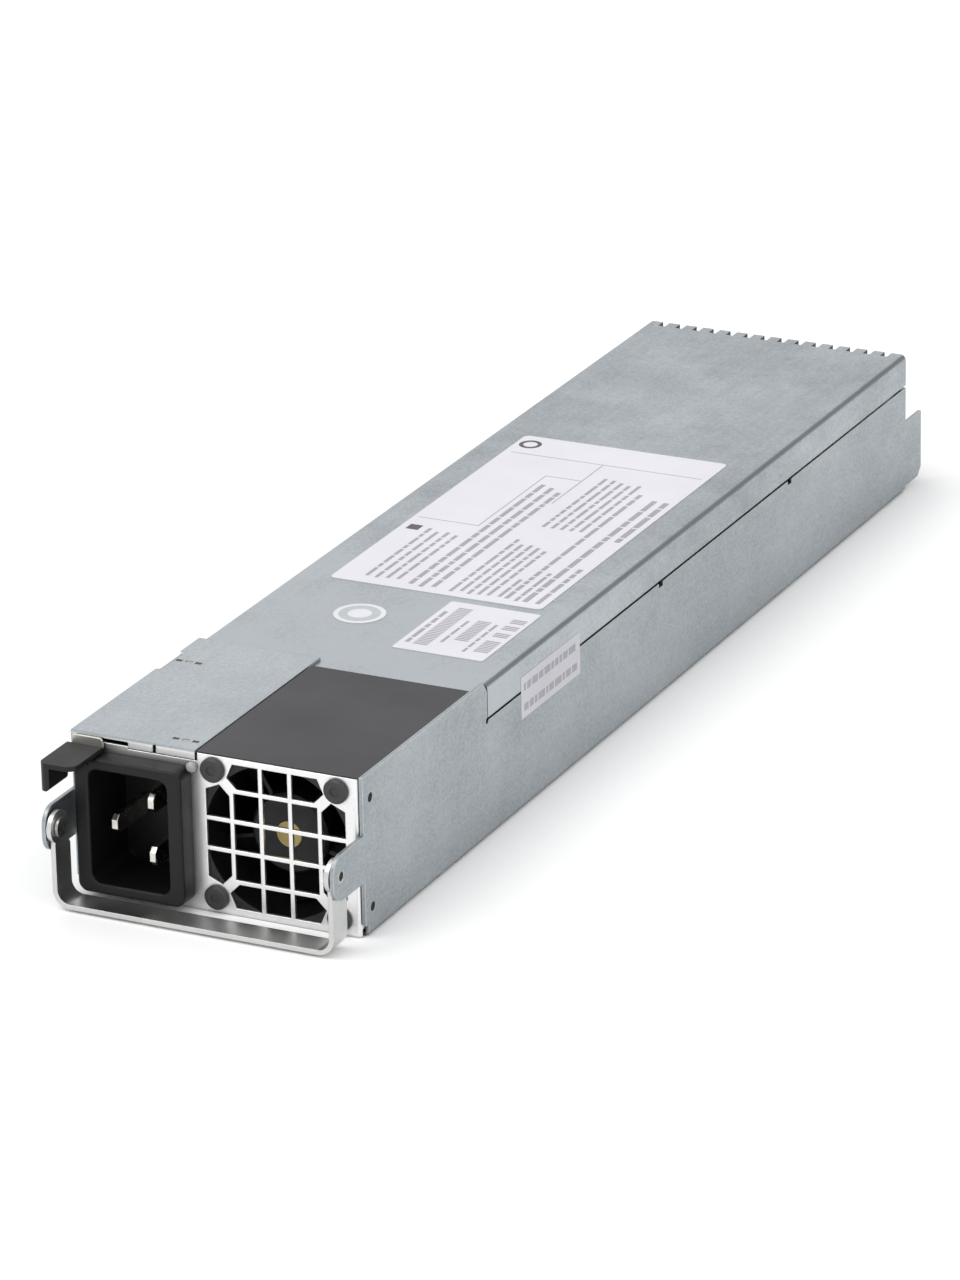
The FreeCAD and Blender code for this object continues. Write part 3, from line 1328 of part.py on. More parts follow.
def check_and_export():
    """Stop on any broken object, then write one file for each sub-part."""
    doc.recompute()
    faults = []
    for item in doc.Objects:
        if "Invalid" in item.State or "Error" in item.State:
            faults.append(f"{item.Label}: {item.State}")
        if hasattr(item, "Shape") and not item.isDerivedFrom("App::Origin") and item.TypeId.startswith("PartDesign::"):
            if item.TypeId not in ("PartDesign::Plane", "PartDesign::Line", "PartDesign::Point"):
                if item.Shape.isNull() or not item.Shape.isValid():
                    faults.append(f"{item.Label}: bad shape")
        if item.TypeId == "PartDesign::Pocket" and item.BaseFeature is not None:
            if item.Shape.Volume > item.BaseFeature.Shape.Volume - 0.001:
                faults.append(f"{item.Label} of {item.getParentGeoFeatureGroup().Label}: cuts nothing")
    for thing in sub_parts:
        if thing.Shape.isNull() or not thing.Shape.isValid():
            faults.append(f"{thing.Label}: bad sub-part")
    if faults:
        raise RuntimeError("; ".join(faults))
    for thing in sub_parts:
        thing.Shape.exportStep(f"parts/{thing.Label}.step")
        box = thing.Shape.BoundBox
        print(f"{thing.Label}: {len(thing.Shape.Solids)} solids, {box.XMin:.2f} {box.XMax:.2f} "
              f"{box.YMin:.2f} {box.YMax:.2f} {box.ZMin:.2f} {box.ZMax:.2f}")


build()
check_and_export()
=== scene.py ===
"""Looks of a slim hot swap server power supply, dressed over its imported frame.

The frame's own solids carry the shapes of the sheet metal, the fans, the inlet, the handle and the latch.
This script gives each of them its finish, adds the thin things that are print, foil or pressed metal more
than solid, and sets the studio and the camera.
"""

import logging
import math
import random
from collections.abc import Iterable
from dataclasses import dataclass, field
from enum import Enum
from typing import Any

import bmesh
import bpy
from mathutils import Matrix, Quaternion, Vector


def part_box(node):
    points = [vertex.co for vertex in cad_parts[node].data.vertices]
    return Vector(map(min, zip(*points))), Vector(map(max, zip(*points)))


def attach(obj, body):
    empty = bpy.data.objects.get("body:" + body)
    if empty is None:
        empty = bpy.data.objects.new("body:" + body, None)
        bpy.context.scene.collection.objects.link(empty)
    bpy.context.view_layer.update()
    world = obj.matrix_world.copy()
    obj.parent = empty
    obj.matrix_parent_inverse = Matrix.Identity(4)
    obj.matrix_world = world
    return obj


Tree = bpy.types.NodeTree
Node = bpy.types.Node
Socket = bpy.types.NodeSocket
Material = bpy.types.Material
Mesh = bmesh.types.BMesh
Colour = tuple[float, float, float, float]
Span = tuple[float, float]

MM = 0.001

# Most of a noise pattern's values lie between these two.
NOISE_SPAN: Span = (0.3, 0.7)

# The Mix node's sockets by number, because those for numbers and for colours share their names.
SHARE = 0
NUMBER_A, NUMBER_B, MIXED_NUMBER = 2, 3, 0
COLOUR_A, COLOUR_B, MIXED_COLOUR = 6, 7, 2

logging.basicConfig(level=logging.INFO, format="%(message)s")
log = logging.getLogger("power_supply")

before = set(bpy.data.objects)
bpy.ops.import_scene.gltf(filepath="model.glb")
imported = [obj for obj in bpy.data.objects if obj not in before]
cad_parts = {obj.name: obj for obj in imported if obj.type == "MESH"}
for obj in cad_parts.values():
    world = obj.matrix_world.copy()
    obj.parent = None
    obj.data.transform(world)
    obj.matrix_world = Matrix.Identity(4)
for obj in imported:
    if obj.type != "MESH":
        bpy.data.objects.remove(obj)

# The case's middle is the origin, so the ends of the base's rear tabs are half its length behind it.
HALF_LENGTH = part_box("base_shell")[1].y


def linear(colour: str) -> Colour:
    """Turn an sRGB hex colour to linear light.

    Args:
        colour: Six hex digits after a hash.

    Returns:
        Linear red, green and blue, with an alpha of one.
    """
    parts = [int(colour[place:place + 2], 16) / 255 for place in (1, 3, 5)]
    # The sRGB curve is a straight line near black and a power curve above it.
    light = [part / 12.92 if part <= 0.04045 else ((part + 0.055) / 1.055) ** 2.4 for part in parts]
    return (light[0], light[1], light[2], 1.0)


def per_metre(size_mm: float) -> float:
    """Texture scale, in cells per metre, for cells of this size in millimetres."""
    return 1000.0 / size_mm


def add(tree: Tree, kind: str, inputs: dict[str | int, Any] | None = None, **settings: Any) -> Node:
    """Add a node with its settings, and fill its sockets with values or links.

    Args:
        tree: The node tree that gets the node.
        kind: Blender's name of the node's type.
        inputs: A value or a socket to link, for each input's name or number.
        settings: The node's own properties.

    Returns:
        The new node.
    """
    node = tree.nodes.new(kind)
    for name, value in settings.items():
        setattr(node, name, value)
    for name, value in (inputs or {}).items():
        if isinstance(value, Socket):
            tree.links.new(value, node.inputs[name])
        else:
            node.inputs[name].default_value = value
    return node


def start_material(name: str) -> tuple[Material, Tree]:
    """Start an empty material.

    Args:
        name: The finish's plain name.

    Returns:
        The material and its tree.
    """
    material = bpy.data.materials.new(name)
    material.use_nodes = True
    material.node_tree.nodes.clear()
    return material, material.node_tree


def end_material(tree: Tree, surface: dict[str, Any]) -> None:
    """Add the shader and the output that shows it.

    Args:
        tree: The material's tree.
        surface: A value or a socket to link, for each of the shader's inputs.
    """
    shader = add(tree, "ShaderNodeBsdfPrincipled", surface)
    add(tree, "ShaderNodeOutputMaterial", {"Surface": shader.outputs["BSDF"]})


def between_tones(tree: Tree, pattern: Socket, span: Span, low: str, high: str) -> Socket:
    """Turn a grey pattern to a colour that runs from one tone to another.

    Args:
        tree: The material's tree.
        pattern: The grey pattern.
        span: Its values where the low and the high tone are full.
        low: The low tone, as a hex colour.
        high: The high tone.

    Returns:
        The colour.
    """
    rise = add(tree, "ShaderNodeMapRange", {"Value": pattern, "From Min": span[0], "From Max": span[1]})
    mixed = add(tree, "ShaderNodeMix", {SHARE: rise.outputs["Result"], COLOUR_A: linear(low),
                                        COLOUR_B: linear(high)}, data_type="RGBA")
    return mixed.outputs[MIXED_COLOUR]


def worn_edges(tree: Tree, radius_mm: float, squareness: Span, depth: float) -> tuple[Socket, Socket]:
    """Round the sharp edges for the light, and find where they are worn.

    Args:
        tree: The material's tree.
        radius_mm: The rounded edge's radius in millimetres.
        squareness: How square to the flat face the rounded one is where wear starts, and where it is full.
        depth: How much of full wear shows.

    Returns:
        The rounded normal, and the share of wear.
    """
    rounded = add(tree, "ShaderNodeBevel", {"Radius": radius_mm * MM}, samples=4).outputs["Normal"]
    flat = add(tree, "ShaderNodeNewGeometry").outputs["Normal"]
    facing = add(tree, "ShaderNodeVectorMath", {0: rounded, 1: flat}, operation="DOT_PRODUCT")
    worn = add(tree, "ShaderNodeMapRange", {"Value": facing.outputs["Value"], "From Min": squareness[0],
                                            "From Max": squareness[1], "To Min": 0.0, "To Max": depth})
    return rounded, worn.outputs["Result"]


@dataclass(frozen=True)
class ZincSheet:
    """Zinc coated steel sheet, rolled and left bare.

    The coating gives a soft cloudy grey with fine crystals that catch the light one by one, and faint rolling
    lines. Sharp edges are worn to a tone of their own. Painted light and shade are laid on it too: a painted
    dark line along each bend, a painted highlight on a lip that faces the front, painted shade on the walls
    of punched slots and in the seams, and a sheet painted paler towards the front.
    """

    name: str
    pale: str
    deep: str
    edge: str
    tone_span: Span = (0.30, 0.68)
    roughness: float = 0.42
    gloss_drift: float = 0.08
    gloss_span: Span = (0.25, 0.75)
    bump: float = 0.03
    bump_mm: float = 0.2
    cloud_mm: float = 26.0
    crystal_mm: float = 0.55
    crystal_depth: float = 0.28
    rolling_mm: float = 20.0
    rolling_across: float = 12.0
    rolling_depth: float = 0.16
    # Painted light: how much paler the sheet is painted towards the front, and where along the case that
    # runs.
    painted_light_lean: float = 0.0
    painted_light_lean_mm: Span = (-110.0, 20.0)
    edge_mm: float = 0.35
    edge_squareness: Span = (0.995, 0.90)
    edge_depth: float = 0.75
    # Painted shade: the dark tone laid along each bend, the slant of faces that counts as a bend, and how
    # much shows.
    painted_fold_shade: str = "#676E71"
    fold_slant: Span = (0.25, 0.47)
    painted_fold_shade_depth: float = 0.0
    square_on: float = 0.8
    # Painted highlight: the bright tone laid on lip faces that look to the front or the rear, and how much
    # shows.
    front: str = "#EDEDEB"
    front_highlight_depth: float = 0.0
    # Painted shade on the walls of punched slots, within this far of the case's middle.
    painted_slot_shade: str = "#2E3032"
    punched_within_mm: float = 0.0
    # Painted shade in the seams, where little open air is seen within this reach.
    painted_seam_shade: str = "#1C1D1E"
    seam_shade_reach_mm: float = 1.6
    seam_shade_open: Span = (0.8, 0.25)
    seam_shade_depth: float = 0.74

    def pattern(self, tree: Tree, place: Socket) -> Socket:
        """Mix clouds, crystals and rolling lines.

        Args:
            tree: The material's tree.
            place: The object's own coordinates.

        Returns:
            The grey pattern.
        """
        cloud = add(tree, "ShaderNodeTexNoise", {"Vector": place, "Scale": per_metre(self.cloud_mm),
                                                 "Detail": 5.0, "Roughness": 0.62}).outputs["Fac"]
        cells = add(tree, "ShaderNodeTexVoronoi", {"Vector": place, "Scale": per_metre(self.crystal_mm)})
        crystals = add(tree, "ShaderNodeSeparateColor", {"Color": cells.outputs["Color"]}).outputs["Red"]
        rolled = add(tree, "ShaderNodeMapping",
                     {"Vector": place, "Scale": (self.rolling_across, 1.0, self.rolling_across)})
        lines = add(tree, "ShaderNodeTexNoise", {"Vector": rolled.outputs["Vector"], "Detail": 3.0,
                                                 "Scale": per_metre(self.rolling_mm)}).outputs["Fac"]
        speckled = add(tree, "ShaderNodeMix", {SHARE: self.crystal_depth, NUMBER_A: cloud,
                                               NUMBER_B: crystals}, data_type="FLOAT").outputs[MIXED_NUMBER]
        return add(tree, "ShaderNodeMix", {SHARE: self.rolling_depth, NUMBER_A: speckled, NUMBER_B: lines},
                   data_type="FLOAT").outputs[MIXED_NUMBER]

    def painted_light_ahead(self, tree: Tree, pattern: Socket, along: Socket) -> Socket:
        """Raise a pattern towards the front of the case, as painted light.

        Args:
            tree: The material's tree.
            pattern: The grey pattern.
            along: The coordinate along the case.

        Returns:
            The raised pattern.
        """
        rise = add(tree, "ShaderNodeMapRange", {"Value": along, "From Min": self.painted_light_lean_mm[0] * MM,
                                                "From Max": self.painted_light_lean_mm[1] * MM, "To Min": self.painted_light_lean,
                                                "To Max": 0.0})
        return add(tree, "ShaderNodeMath", {0: pattern, 1: rise.outputs["Result"]},
                   operation="ADD").outputs["Value"]

    def fold_shade_share(self, tree: Tree, turned: Node) -> Socket:
        """Find the bends, whose faces slant between level and upright, for a painted dark line along them.

        Args:
            tree: The material's tree.
            turned: The face's direction, apart and unsigned.

        Returns:
            The share of painted bend shade.
        """
        level = add(tree, "ShaderNodeMath", {0: turned.outputs["X"], 1: turned.outputs["Y"]},
                    operation="MAXIMUM")
        slant = add(tree, "ShaderNodeMath", {0: level.outputs["Value"], 1: turned.outputs["Z"]},
                    operation="MULTIPLY")
        return add(tree, "ShaderNodeMapRange", {"Value": slant.outputs["Value"],
                                                "From Min": self.fold_slant[0],
                                                "From Max": self.fold_slant[1], "To Min": 0.0,
                                                "To Max": self.painted_fold_shade_depth}).outputs["Result"]

    def front_highlight_share(self, tree: Tree, turned: Node) -> Socket:
        """Find the faces that look to the front or the rear, for their painted highlight.

        Args:
            tree: The material's tree.
            turned: The face's direction, apart and unsigned.

        Returns:
            The share of lip.
        """
        ahead = add(tree, "ShaderNodeMath", {0: turned.outputs["Y"], 1: self.square_on},
                    operation="GREATER_THAN")
        return add(tree, "ShaderNodeMath", {0: ahead.outputs["Value"], 1: self.front_highlight_depth},
                   operation="MULTIPLY").outputs["Value"]

    def slot_walls(self, tree: Tree, turned: Node, across: Socket) -> Socket:
        """Find the faces that look sideways within the sheet, which are the walls of its slots, for their
        painted shade.

        Args:
            tree: The material's tree.
            turned: The face's direction, apart and unsigned.
            across: The coordinate across the case.

        Returns:
            One on the walls, and nothing elsewhere.
        """
        aside = add(tree, "ShaderNodeMath", {0: across}, operation="ABSOLUTE")
        within = add(tree, "ShaderNodeMath", {0: aside.outputs["Value"], 1: self.punched_within_mm * MM},
                     operation="LESS_THAN")
        wall = add(tree, "ShaderNodeMath", {0: turned.outputs["X"], 1: self.square_on},
                   operation="GREATER_THAN")
        return add(tree, "ShaderNodeMath", {0: within.outputs["Value"], 1: wall.outputs["Value"]},
                   operation="MULTIPLY").outputs["Value"]

    def seam_shade_share(self, tree: Tree) -> Socket:
        """Find the seams, where little of the open air is seen, for their painted shade.

        Args:
            tree: The material's tree.

        Returns:
            The share of painted seam shade.
        """
        air = add(tree, "ShaderNodeAmbientOcclusion", {"Distance": self.seam_shade_reach_mm * MM}, samples=6)
        return add(tree, "ShaderNodeMapRange", {"Value": air.outputs["AO"], "From Min": self.seam_shade_open[0],
                                                "From Max": self.seam_shade_open[1], "To Min": 0.0,
                                                "To Max": self.seam_shade_depth}).outputs["Result"]

    def build(self) -> Material:
        """Make the material.

        Returns:
            The finished material.
        """
        material, tree = start_material(self.name)
        spots = add(tree, "ShaderNodeTexCoord")
        place = spots.outputs["Object"]
        point = add(tree, "ShaderNodeSeparateXYZ", {"Vector": place})
        unsigned = add(tree, "ShaderNodeVectorMath", {0: spots.outputs["Normal"]}, operation="ABSOLUTE")
        turned = add(tree, "ShaderNodeSeparateXYZ", {"Vector": unsigned.outputs["Vector"]})
        pattern = self.pattern(tree, place)
        # Painted light: the sheet is raised paler towards the front.
        raised = self.painted_light_ahead(tree, pattern, point.outputs["Y"])
        colour = between_tones(tree, raised, self.tone_span, self.deep, self.pale)
        rounded, worn = worn_edges(tree, self.edge_mm, self.edge_squareness, self.edge_depth)
        # Painted highlight on front-facing lip faces, then worn edges, then painted shade along bends, on
        # slot walls and in seams.
        for share, tone in ((self.front_highlight_share(tree, turned), self.front), (worn, self.edge),
                            (self.fold_shade_share(tree, turned), self.painted_fold_shade),
                            (self.slot_walls(tree, turned, point.outputs["X"]), self.painted_slot_shade),
                            (self.seam_shade_share(tree), self.painted_seam_shade)):
            colour = add(tree, "ShaderNodeMix", {SHARE: share, COLOUR_A: colour, COLOUR_B: linear(tone)},
                         data_type="RGBA").outputs[MIXED_COLOUR]
        rough = add(tree, "ShaderNodeMapRange", {"Value": pattern, "From Min": self.gloss_span[0],
                                                 "From Max": self.gloss_span[1],
                                                 "To Min": self.roughness + self.gloss_drift,
                                                 "To Max": self.roughness - self.gloss_drift})
        relief = add(tree, "ShaderNodeBump", {"Height": pattern, "Strength": self.bump,
                                              "Distance": self.bump_mm * MM, "Normal": rounded})
        end_material(tree, {"Metallic": 1.0, "Base Color": colour, "Roughness": rough.outputs["Result"],
                            "Normal": relief.outputs["Normal"]})
        return material


@dataclass(frozen=True)
class TurnedMetal:
    """Plated, drawn, rolled or tooled small metal, most of it brighter and smoother than the sheet.

    Its grain is drawn coarser than the real tool marks, so that it shows.
    """

    name: str
    pale: str
    deep: str
    tone_span: Span = (0.32, 0.66)
    roughness: float = 0.30
    gloss_drift: Span = (-0.06, 0.08)
    grain_mm: float = 1.2
    bump: float = 0.05
    bump_mm: float = 0.1
    edge_mm: float = 0.25

    def build(self) -> Material:
        """Make the material.

        Returns:
            The finished material.
        """
        material, tree = start_material(self.name)
        place = add(tree, "ShaderNodeTexCoord").outputs["Object"]
        grain = add(tree, "ShaderNodeTexNoise", {"Vector": place, "Scale": per_metre(self.grain_mm),
                                                 "Detail": 4.0, "Roughness": 0.6}).outputs["Fac"]
        rough = add(tree, "ShaderNodeMapRange", {"Value": grain, "From Min": NOISE_SPAN[0],
                                                 "From Max": NOISE_SPAN[1],
                                                 "To Min": self.roughness + self.gloss_drift[0],
                                                 "To Max": self.roughness + self.gloss_drift[1]})
        rounded = add(tree, "ShaderNodeBevel", {"Radius": self.edge_mm * MM}, samples=4)
        relief = add(tree, "ShaderNodeBump", {"Height": grain, "Strength": self.bump,
                                              "Distance": self.bump_mm * MM,
                                              "Normal": rounded.outputs["Normal"]})
        end_material(tree, {"Metallic": 1.0, "Roughness": rough.outputs["Result"],
                            "Base Color": between_tones(tree, grain, self.tone_span, self.deep, self.pale),
                            "Normal": relief.outputs["Normal"]})
        return material


@dataclass(frozen=True)
class MouldedPlastic:
    """Injection moulded plastic, with the spark eroded grain of its mould and softly rubbed edges.

    The grain is drawn coarser than real, so that it shows.
    """

    name: str
    body: str
    rubbed: str
    roughness: float = 0.45
    gloss_drift: Span = (-0.05, 0.07)
    cloud_mm: float = 9.0
    grain_mm: float = 0.35
    grain_height: float = 0.12
    grain_deep_mm: float = 0.05
    edge_mm: float = 0.3
    edge_squareness: Span = (0.99, 0.88)
    edge_depth: float = 0.7
    sheen: float = 0.5
    ior: float = 1.53

    def build(self) -> Material:
        """Make the material.

        Returns:
            The finished material.
        """
        material, tree = start_material(self.name)
        place = add(tree, "ShaderNodeTexCoord").outputs["Object"]
        grain = add(tree, "ShaderNodeTexNoise", {"Vector": place, "Scale": per_metre(self.grain_mm),
                                                 "Detail": 2.0, "Roughness": 0.7}).outputs["Fac"]
        cloud = add(tree, "ShaderNodeTexNoise", {"Vector": place, "Scale": per_metre(self.cloud_mm),
                                                 "Detail": 4.0}).outputs["Fac"]
        rounded, rubbed = worn_edges(tree, self.edge_mm, self.edge_squareness, self.edge_depth)
        patchy = add(tree, "ShaderNodeMath", {0: rubbed, 1: cloud}, operation="MULTIPLY")
        colour = add(tree, "ShaderNodeMix", {SHARE: patchy.outputs["Value"], COLOUR_A: linear(self.body),
                                             COLOUR_B: linear(self.rubbed)}, data_type="RGBA")
        rough = add(tree, "ShaderNodeMapRange", {"Value": cloud, "From Min": NOISE_SPAN[0],
                                                 "From Max": NOISE_SPAN[1],
                                                 "To Min": self.roughness + self.gloss_drift[0],
                                                 "To Max": self.roughness + self.gloss_drift[1]})
        relief = add(tree, "ShaderNodeBump", {"Height": grain, "Strength": self.grain_height,
                                              "Distance": self.grain_deep_mm * MM, "Normal": rounded})
        end_material(tree, {"IOR": self.ior, "Specular IOR Level": self.sheen,
                            "Base Color": colour.outputs[MIXED_COLOUR], "Roughness": rough.outputs["Result"],
                            "Normal": relief.outputs["Normal"]})
        return material


@dataclass(frozen=True)
class CoatedSurface:
    """A thin even coat or film, such as paper stock, lacquer, ink, tape or polyester film.

    Its colour drifts a little over two or three centimetres, and its gloss comes from a smooth top over fine
    fibres, which are drawn coarser than real, so that they show.
    """

    name: str
    body: str
    shade: str
    tone_span: Span = (0.30, 0.66)
    roughness: float = 0.5
    gloss_drift: float = 0.06
    fibre_mm: float = 0.5
    fibre_depth: float = 0.25
    drift_mm: float = 22.0
    bump: float = 0.04
    bump_mm: float = 0.1
    coat: float = 0.0
    coat_roughness: float = 0.12
    metallic: float = 0.0

    def build(self) -> Material:
        """Make the material.

        Returns:
            The finished material.
        """
        material, tree = start_material(self.name)
        place = add(tree, "ShaderNodeTexCoord").outputs["Object"]
        drift = add(tree, "ShaderNodeTexNoise", {"Vector": place, "Scale": per_metre(self.drift_mm),
                                                 "Detail": 5.0, "Roughness": 0.55}).outputs["Fac"]
        fibre = add(tree, "ShaderNodeTexNoise", {"Vector": place, "Scale": per_metre(self.fibre_mm),
                                                 "Detail": 2.0}).outputs["Fac"]
        mixed = add(tree, "ShaderNodeMix", {SHARE: self.fibre_depth, NUMBER_A: drift, NUMBER_B: fibre},
                    data_type="FLOAT").outputs[MIXED_NUMBER]
        rough = add(tree, "ShaderNodeMapRange", {"Value": drift, "From Min": NOISE_SPAN[0],
                                                 "From Max": NOISE_SPAN[1],
                                                 "To Min": self.roughness - self.gloss_drift,
                                                 "To Max": self.roughness + self.gloss_drift})
        relief = add(tree, "ShaderNodeBump", {"Height": mixed, "Strength": self.bump,
                                              "Distance": self.bump_mm * MM})
        end_material(tree, {"Metallic": self.metallic, "Coat Weight": self.coat,
                            "Coat Roughness": self.coat_roughness, "Roughness": rough.outputs["Result"],
                            "Base Color": between_tones(tree, mixed, self.tone_span, self.shade, self.body),
                            "Normal": relief.outputs["Normal"]})
        return material


@dataclass(frozen=True)
class ClearLens:
    """Clear cast acrylic, unlit, slightly milky where it scatters light."""

    name: str
    tint: str
    milk: str
    haze_mm: float = 0.8
    gloss: Span = (0.08, 0.22)
    ior: float = 1.49
    clearness: float = 0.55

    def build(self) -> Material:
        """Make the material.

        Returns:
            The finished material.
        """
        material, tree = start_material(self.name)
        place = add(tree, "ShaderNodeTexCoord").outputs["Object"]
        haze = add(tree, "ShaderNodeTexNoise", {"Vector": place, "Scale": per_metre(self.haze_mm),
                                                "Detail": 3.0}).outputs["Fac"]
        rough = add(tree, "ShaderNodeMapRange", {"Value": haze, "To Min": self.gloss[0],
                                                 "To Max": self.gloss[1]})
        end_material(tree, {"IOR": self.ior, "Transmission Weight": self.clearness,
                            "Base Color": between_tones(tree, haze, NOISE_SPAN, self.milk, self.tint),
                            "Roughness": rough.outputs["Result"]})
        return material


class Finish(Enum):
    """Every finish on the power supply."""

    # Hot dip zinc on cold rolled steel: soft cloudy grey, with fine crystals drawn coarser than real, and a
    # faint painted shade along its bends.
    ZINC = ZincSheet("zinc_coated_steel_sheet", "#AAB0B3", "#979EA2", "#D3D6D7", roughness=0.44,
                     painted_fold_shade_depth=0.25)
    # The same coil, painted paler towards the front as painted light, with a painted dark line along each
    # bend and painted shade on the walls of its slots.
    ZINC_COVER = ZincSheet("zinc_coated_cover_sheet", "#B4BABE", "#959B9F", "#A4AAAD", roughness=0.44,
                           painted_fold_shade_depth=0.9, painted_light_lean=0.26, punched_within_mm=37.0, crystal_depth=0.2)
    # The same coil, with a painted highlight on the lip that faces the front, and a painted dark line along
    # each bend.
    ZINC_LID = ZincSheet("zinc_coated_inlet_lid", "#BCC2C5", "#ABB1B5", "#7C8286", roughness=0.44,
                         painted_fold_shade_depth=0.8, front_highlight_depth=0.9)
    # Bright passivated zinc on steel: nearly white and even, so the punched grille reads as a clean net.
    ZINC_PLATE = ZincSheet("bright_zinc_front_plate", "#F4F4F3", "#E9EAEA", "#FBFBFA", roughness=0.36,
                           crystal_depth=0.2, bump=0.015)
    # Bright nickel on drawn strap: pale and nearly even, with soft blurred reflections.
    STRAP = TurnedMetal("nickel_plated_strap", "#D6D7D5", "#CACBC9", roughness=0.33, grain_mm=16.0, bump=0.0)
    # Cold rolled stainless spring strip: warm pale metal with an even sheen.
    SPRING = TurnedMetal("rolled_spring_steel", "#E3E0D9", "#CECBC4", roughness=0.32, grain_mm=12.0,
                         bump=0.02)
    # Nickel plated turned rivet: small bright domes with a darker turned grain.
    RIVET = TurnedMetal("plated_rivet", "#C9C9C6", "#8F908E", roughness=0.32)
    # Nickel plated brass blade: the smoothest metal here, so the blades glint in the dark socket.
    BLADE = TurnedMetal("nickel_plated_brass", "#E4E2DC", "#C2BFB6", roughness=0.22, grain_mm=3.0)
    # Hard gold over copper foil: even yellow strips.
    GOLD = TurnedMetal("gold_plated_copper", "#E2C26E", "#C79F47", roughness=0.26)
    # Turned brass, bare: yellow brown with fine turning marks.
    BRASS = TurnedMetal("turned_brass", "#CDAF68", "#A88B47", roughness=0.32)
    # Zinc plated steel screw: cool grey, a little dull.
    SCREW = TurnedMetal("zinc_plated_screw", "#C9CACB", "#A0A2A4", roughness=0.34)
    # Enamelled copper wire: red brown with a soft gloss.
    COPPER = TurnedMetal("enamelled_copper_wire", "#B5652F", "#8F4A20", roughness=0.30)
    # Extruded aluminium, bare: pale even grey.
    ALUMINIUM = TurnedMetal("extruded_aluminium", "#D2D4D6", "#B2B5B8", roughness=0.38, grain_mm=5.0)
    # Painted dark reflection on each clinch's curved dimple: brown and dull, so the marks read as small dark
    # dashes.
    CLINCH_DARK_REFLECTION = TurnedMetal("painted_clinch_dark_reflection", "#7A674A", "#4A3F30", roughness=0.5, grain_mm=0.8)
    # Painted glint on each clinch's dimple: a small warm highlight between the dark marks.
    CLINCH_GLINT = TurnedMetal("painted_clinch_glint", "#D8CDBA", "#A39A88", roughness=0.35, grain_mm=0.8)
    # Moulded polyamide, spark eroded grain: deep black with greyer rubbed edges.
    INLET = MouldedPlastic("black_polyamide_inlet", "#0D0D0E", "#262628", roughness=0.42, sheen=0.28)
    # Moulded ABS, fine grain: charcoal with a weak sheen and greyer rubbed edges.
    TOUCH = MouldedPlastic("black_abs_finger_tab", "#171718", "#39393B", roughness=0.42, sheen=0.25, ior=1.54)
    # Moulded nylon rivet: grey black and dull, lighter than the fan behind it.
    NYLON = MouldedPlastic("black_nylon_rivet", "#2C2B2B", "#4A4949", roughness=0.5)
    # Glass filled polybutylene, moulded: black with a weak broad sheen on the blades.
    FAN = MouldedPlastic("glass_filled_fan_black", "#111112", "#262628", roughness=0.45, sheen=0.35, ior=1.57)
    # Natural nylon, moulded: cream white.
    SOCKET = MouldedPlastic("white_nylon_socket", "#E4E1D6", "#F3F1EA", roughness=0.42)
    # Transfer moulded epoxy: even matt black.
    EPOXY = MouldedPlastic("black_moulded_epoxy", "#1A1A1A", "#303030", roughness=0.5)
    # Sintered ferrite, ground: dark grey, with a stony grain.
    FERRITE = MouldedPlastic("sintered_ferrite", "#37383A", "#505256", roughness=0.6, ior=1.7)
    # Powder core in epoxy paint: even green.
    CORE = CoatedSurface("painted_powder_core", "#2F5A45", "#274B3A", roughness=0.4)
    # Shrunk polyester sleeve: blue black with a clear gloss.
    SLEEVE = CoatedSurface("shrink_sleeve", "#20212A", "#191A21", roughness=0.28, coat=0.3)
    # Moulded capacitor case in polyester: warm yellow with a soft gloss.
    YELLOW = CoatedSurface("yellow_moulded_capacitor", "#D2AE3A", "#BC9A2F", roughness=0.35, coat=0.2)
    # Wound polyester tape: bright yellow with a clear gloss.
    TAPE = CoatedSurface("polyester_tape", "#DCC03E", "#C7AC31", roughness=0.32, coat=0.3)
    # Printed solder mask on glass epoxy: deep green with a wet gloss.
    MASK = CoatedSurface("green_solder_mask", "#175234", "#124129", roughness=0.3, coat=0.4)
    # Vulcanised fibre sheet: dull grey with fine fibres.
    FISH_PAPER = CoatedSurface("grey_fish_paper", "#3B3C3F", "#313235", roughness=0.7)
    # Fired ceramic tube: off white with a low sheen.
    CERAMIC = CoatedSurface("white_ceramic_tube", "#E6E2D8", "#D5D0C4", roughness=0.35)
    # Extruded vinyl jacket: brown and satin.
    BROWN_WIRE = CoatedSurface("brown_wire_jacket", "#54301D", "#462817", roughness=0.45)
    # Extruded vinyl jacket: blue and satin.
    BLUE_WIRE = CoatedSurface("blue_wire_jacket", "#2A4F9A", "#224182", roughness=0.45)
    # Extruded vinyl jacket: green and satin, for the earth.
    GREEN_WIRE = CoatedSurface("green_wire_jacket", "#3C8438", "#31702D", roughness=0.45)
    # Printed polyester film: even dark grey, a shade violet, with no glare.
    FILM = CoatedSurface("dark_polyester_film", "#28262D", "#242228", roughness=0.5, drift_mm=30.0)
    # Coated label stock: cool white and satin.
    PAPER = CoatedSurface("satin_label_stock", "#DAD9DF", "#D2D0D7", roughness=0.46, bump=0.02)
    # Thin seal film, laid on zinc: greyed white that lets a little metal through.
    SEAL = CoatedSurface("thin_seal_film", "#C4C4C9", "#B6B6BC", roughness=0.4, bump=0.03, metallic=0.25)
    # Thermal transfer ink: grey at this distance, where print and paper mix.
    INK = CoatedSurface("grey_thermal_ink", "#A19EA8", "#918E98", roughness=0.5)
    # Thermal transfer ink, solid: dark grey.
    DARK_INK = CoatedSurface("dark_thermal_ink", "#4F4D53", "#413F45", roughness=0.5)
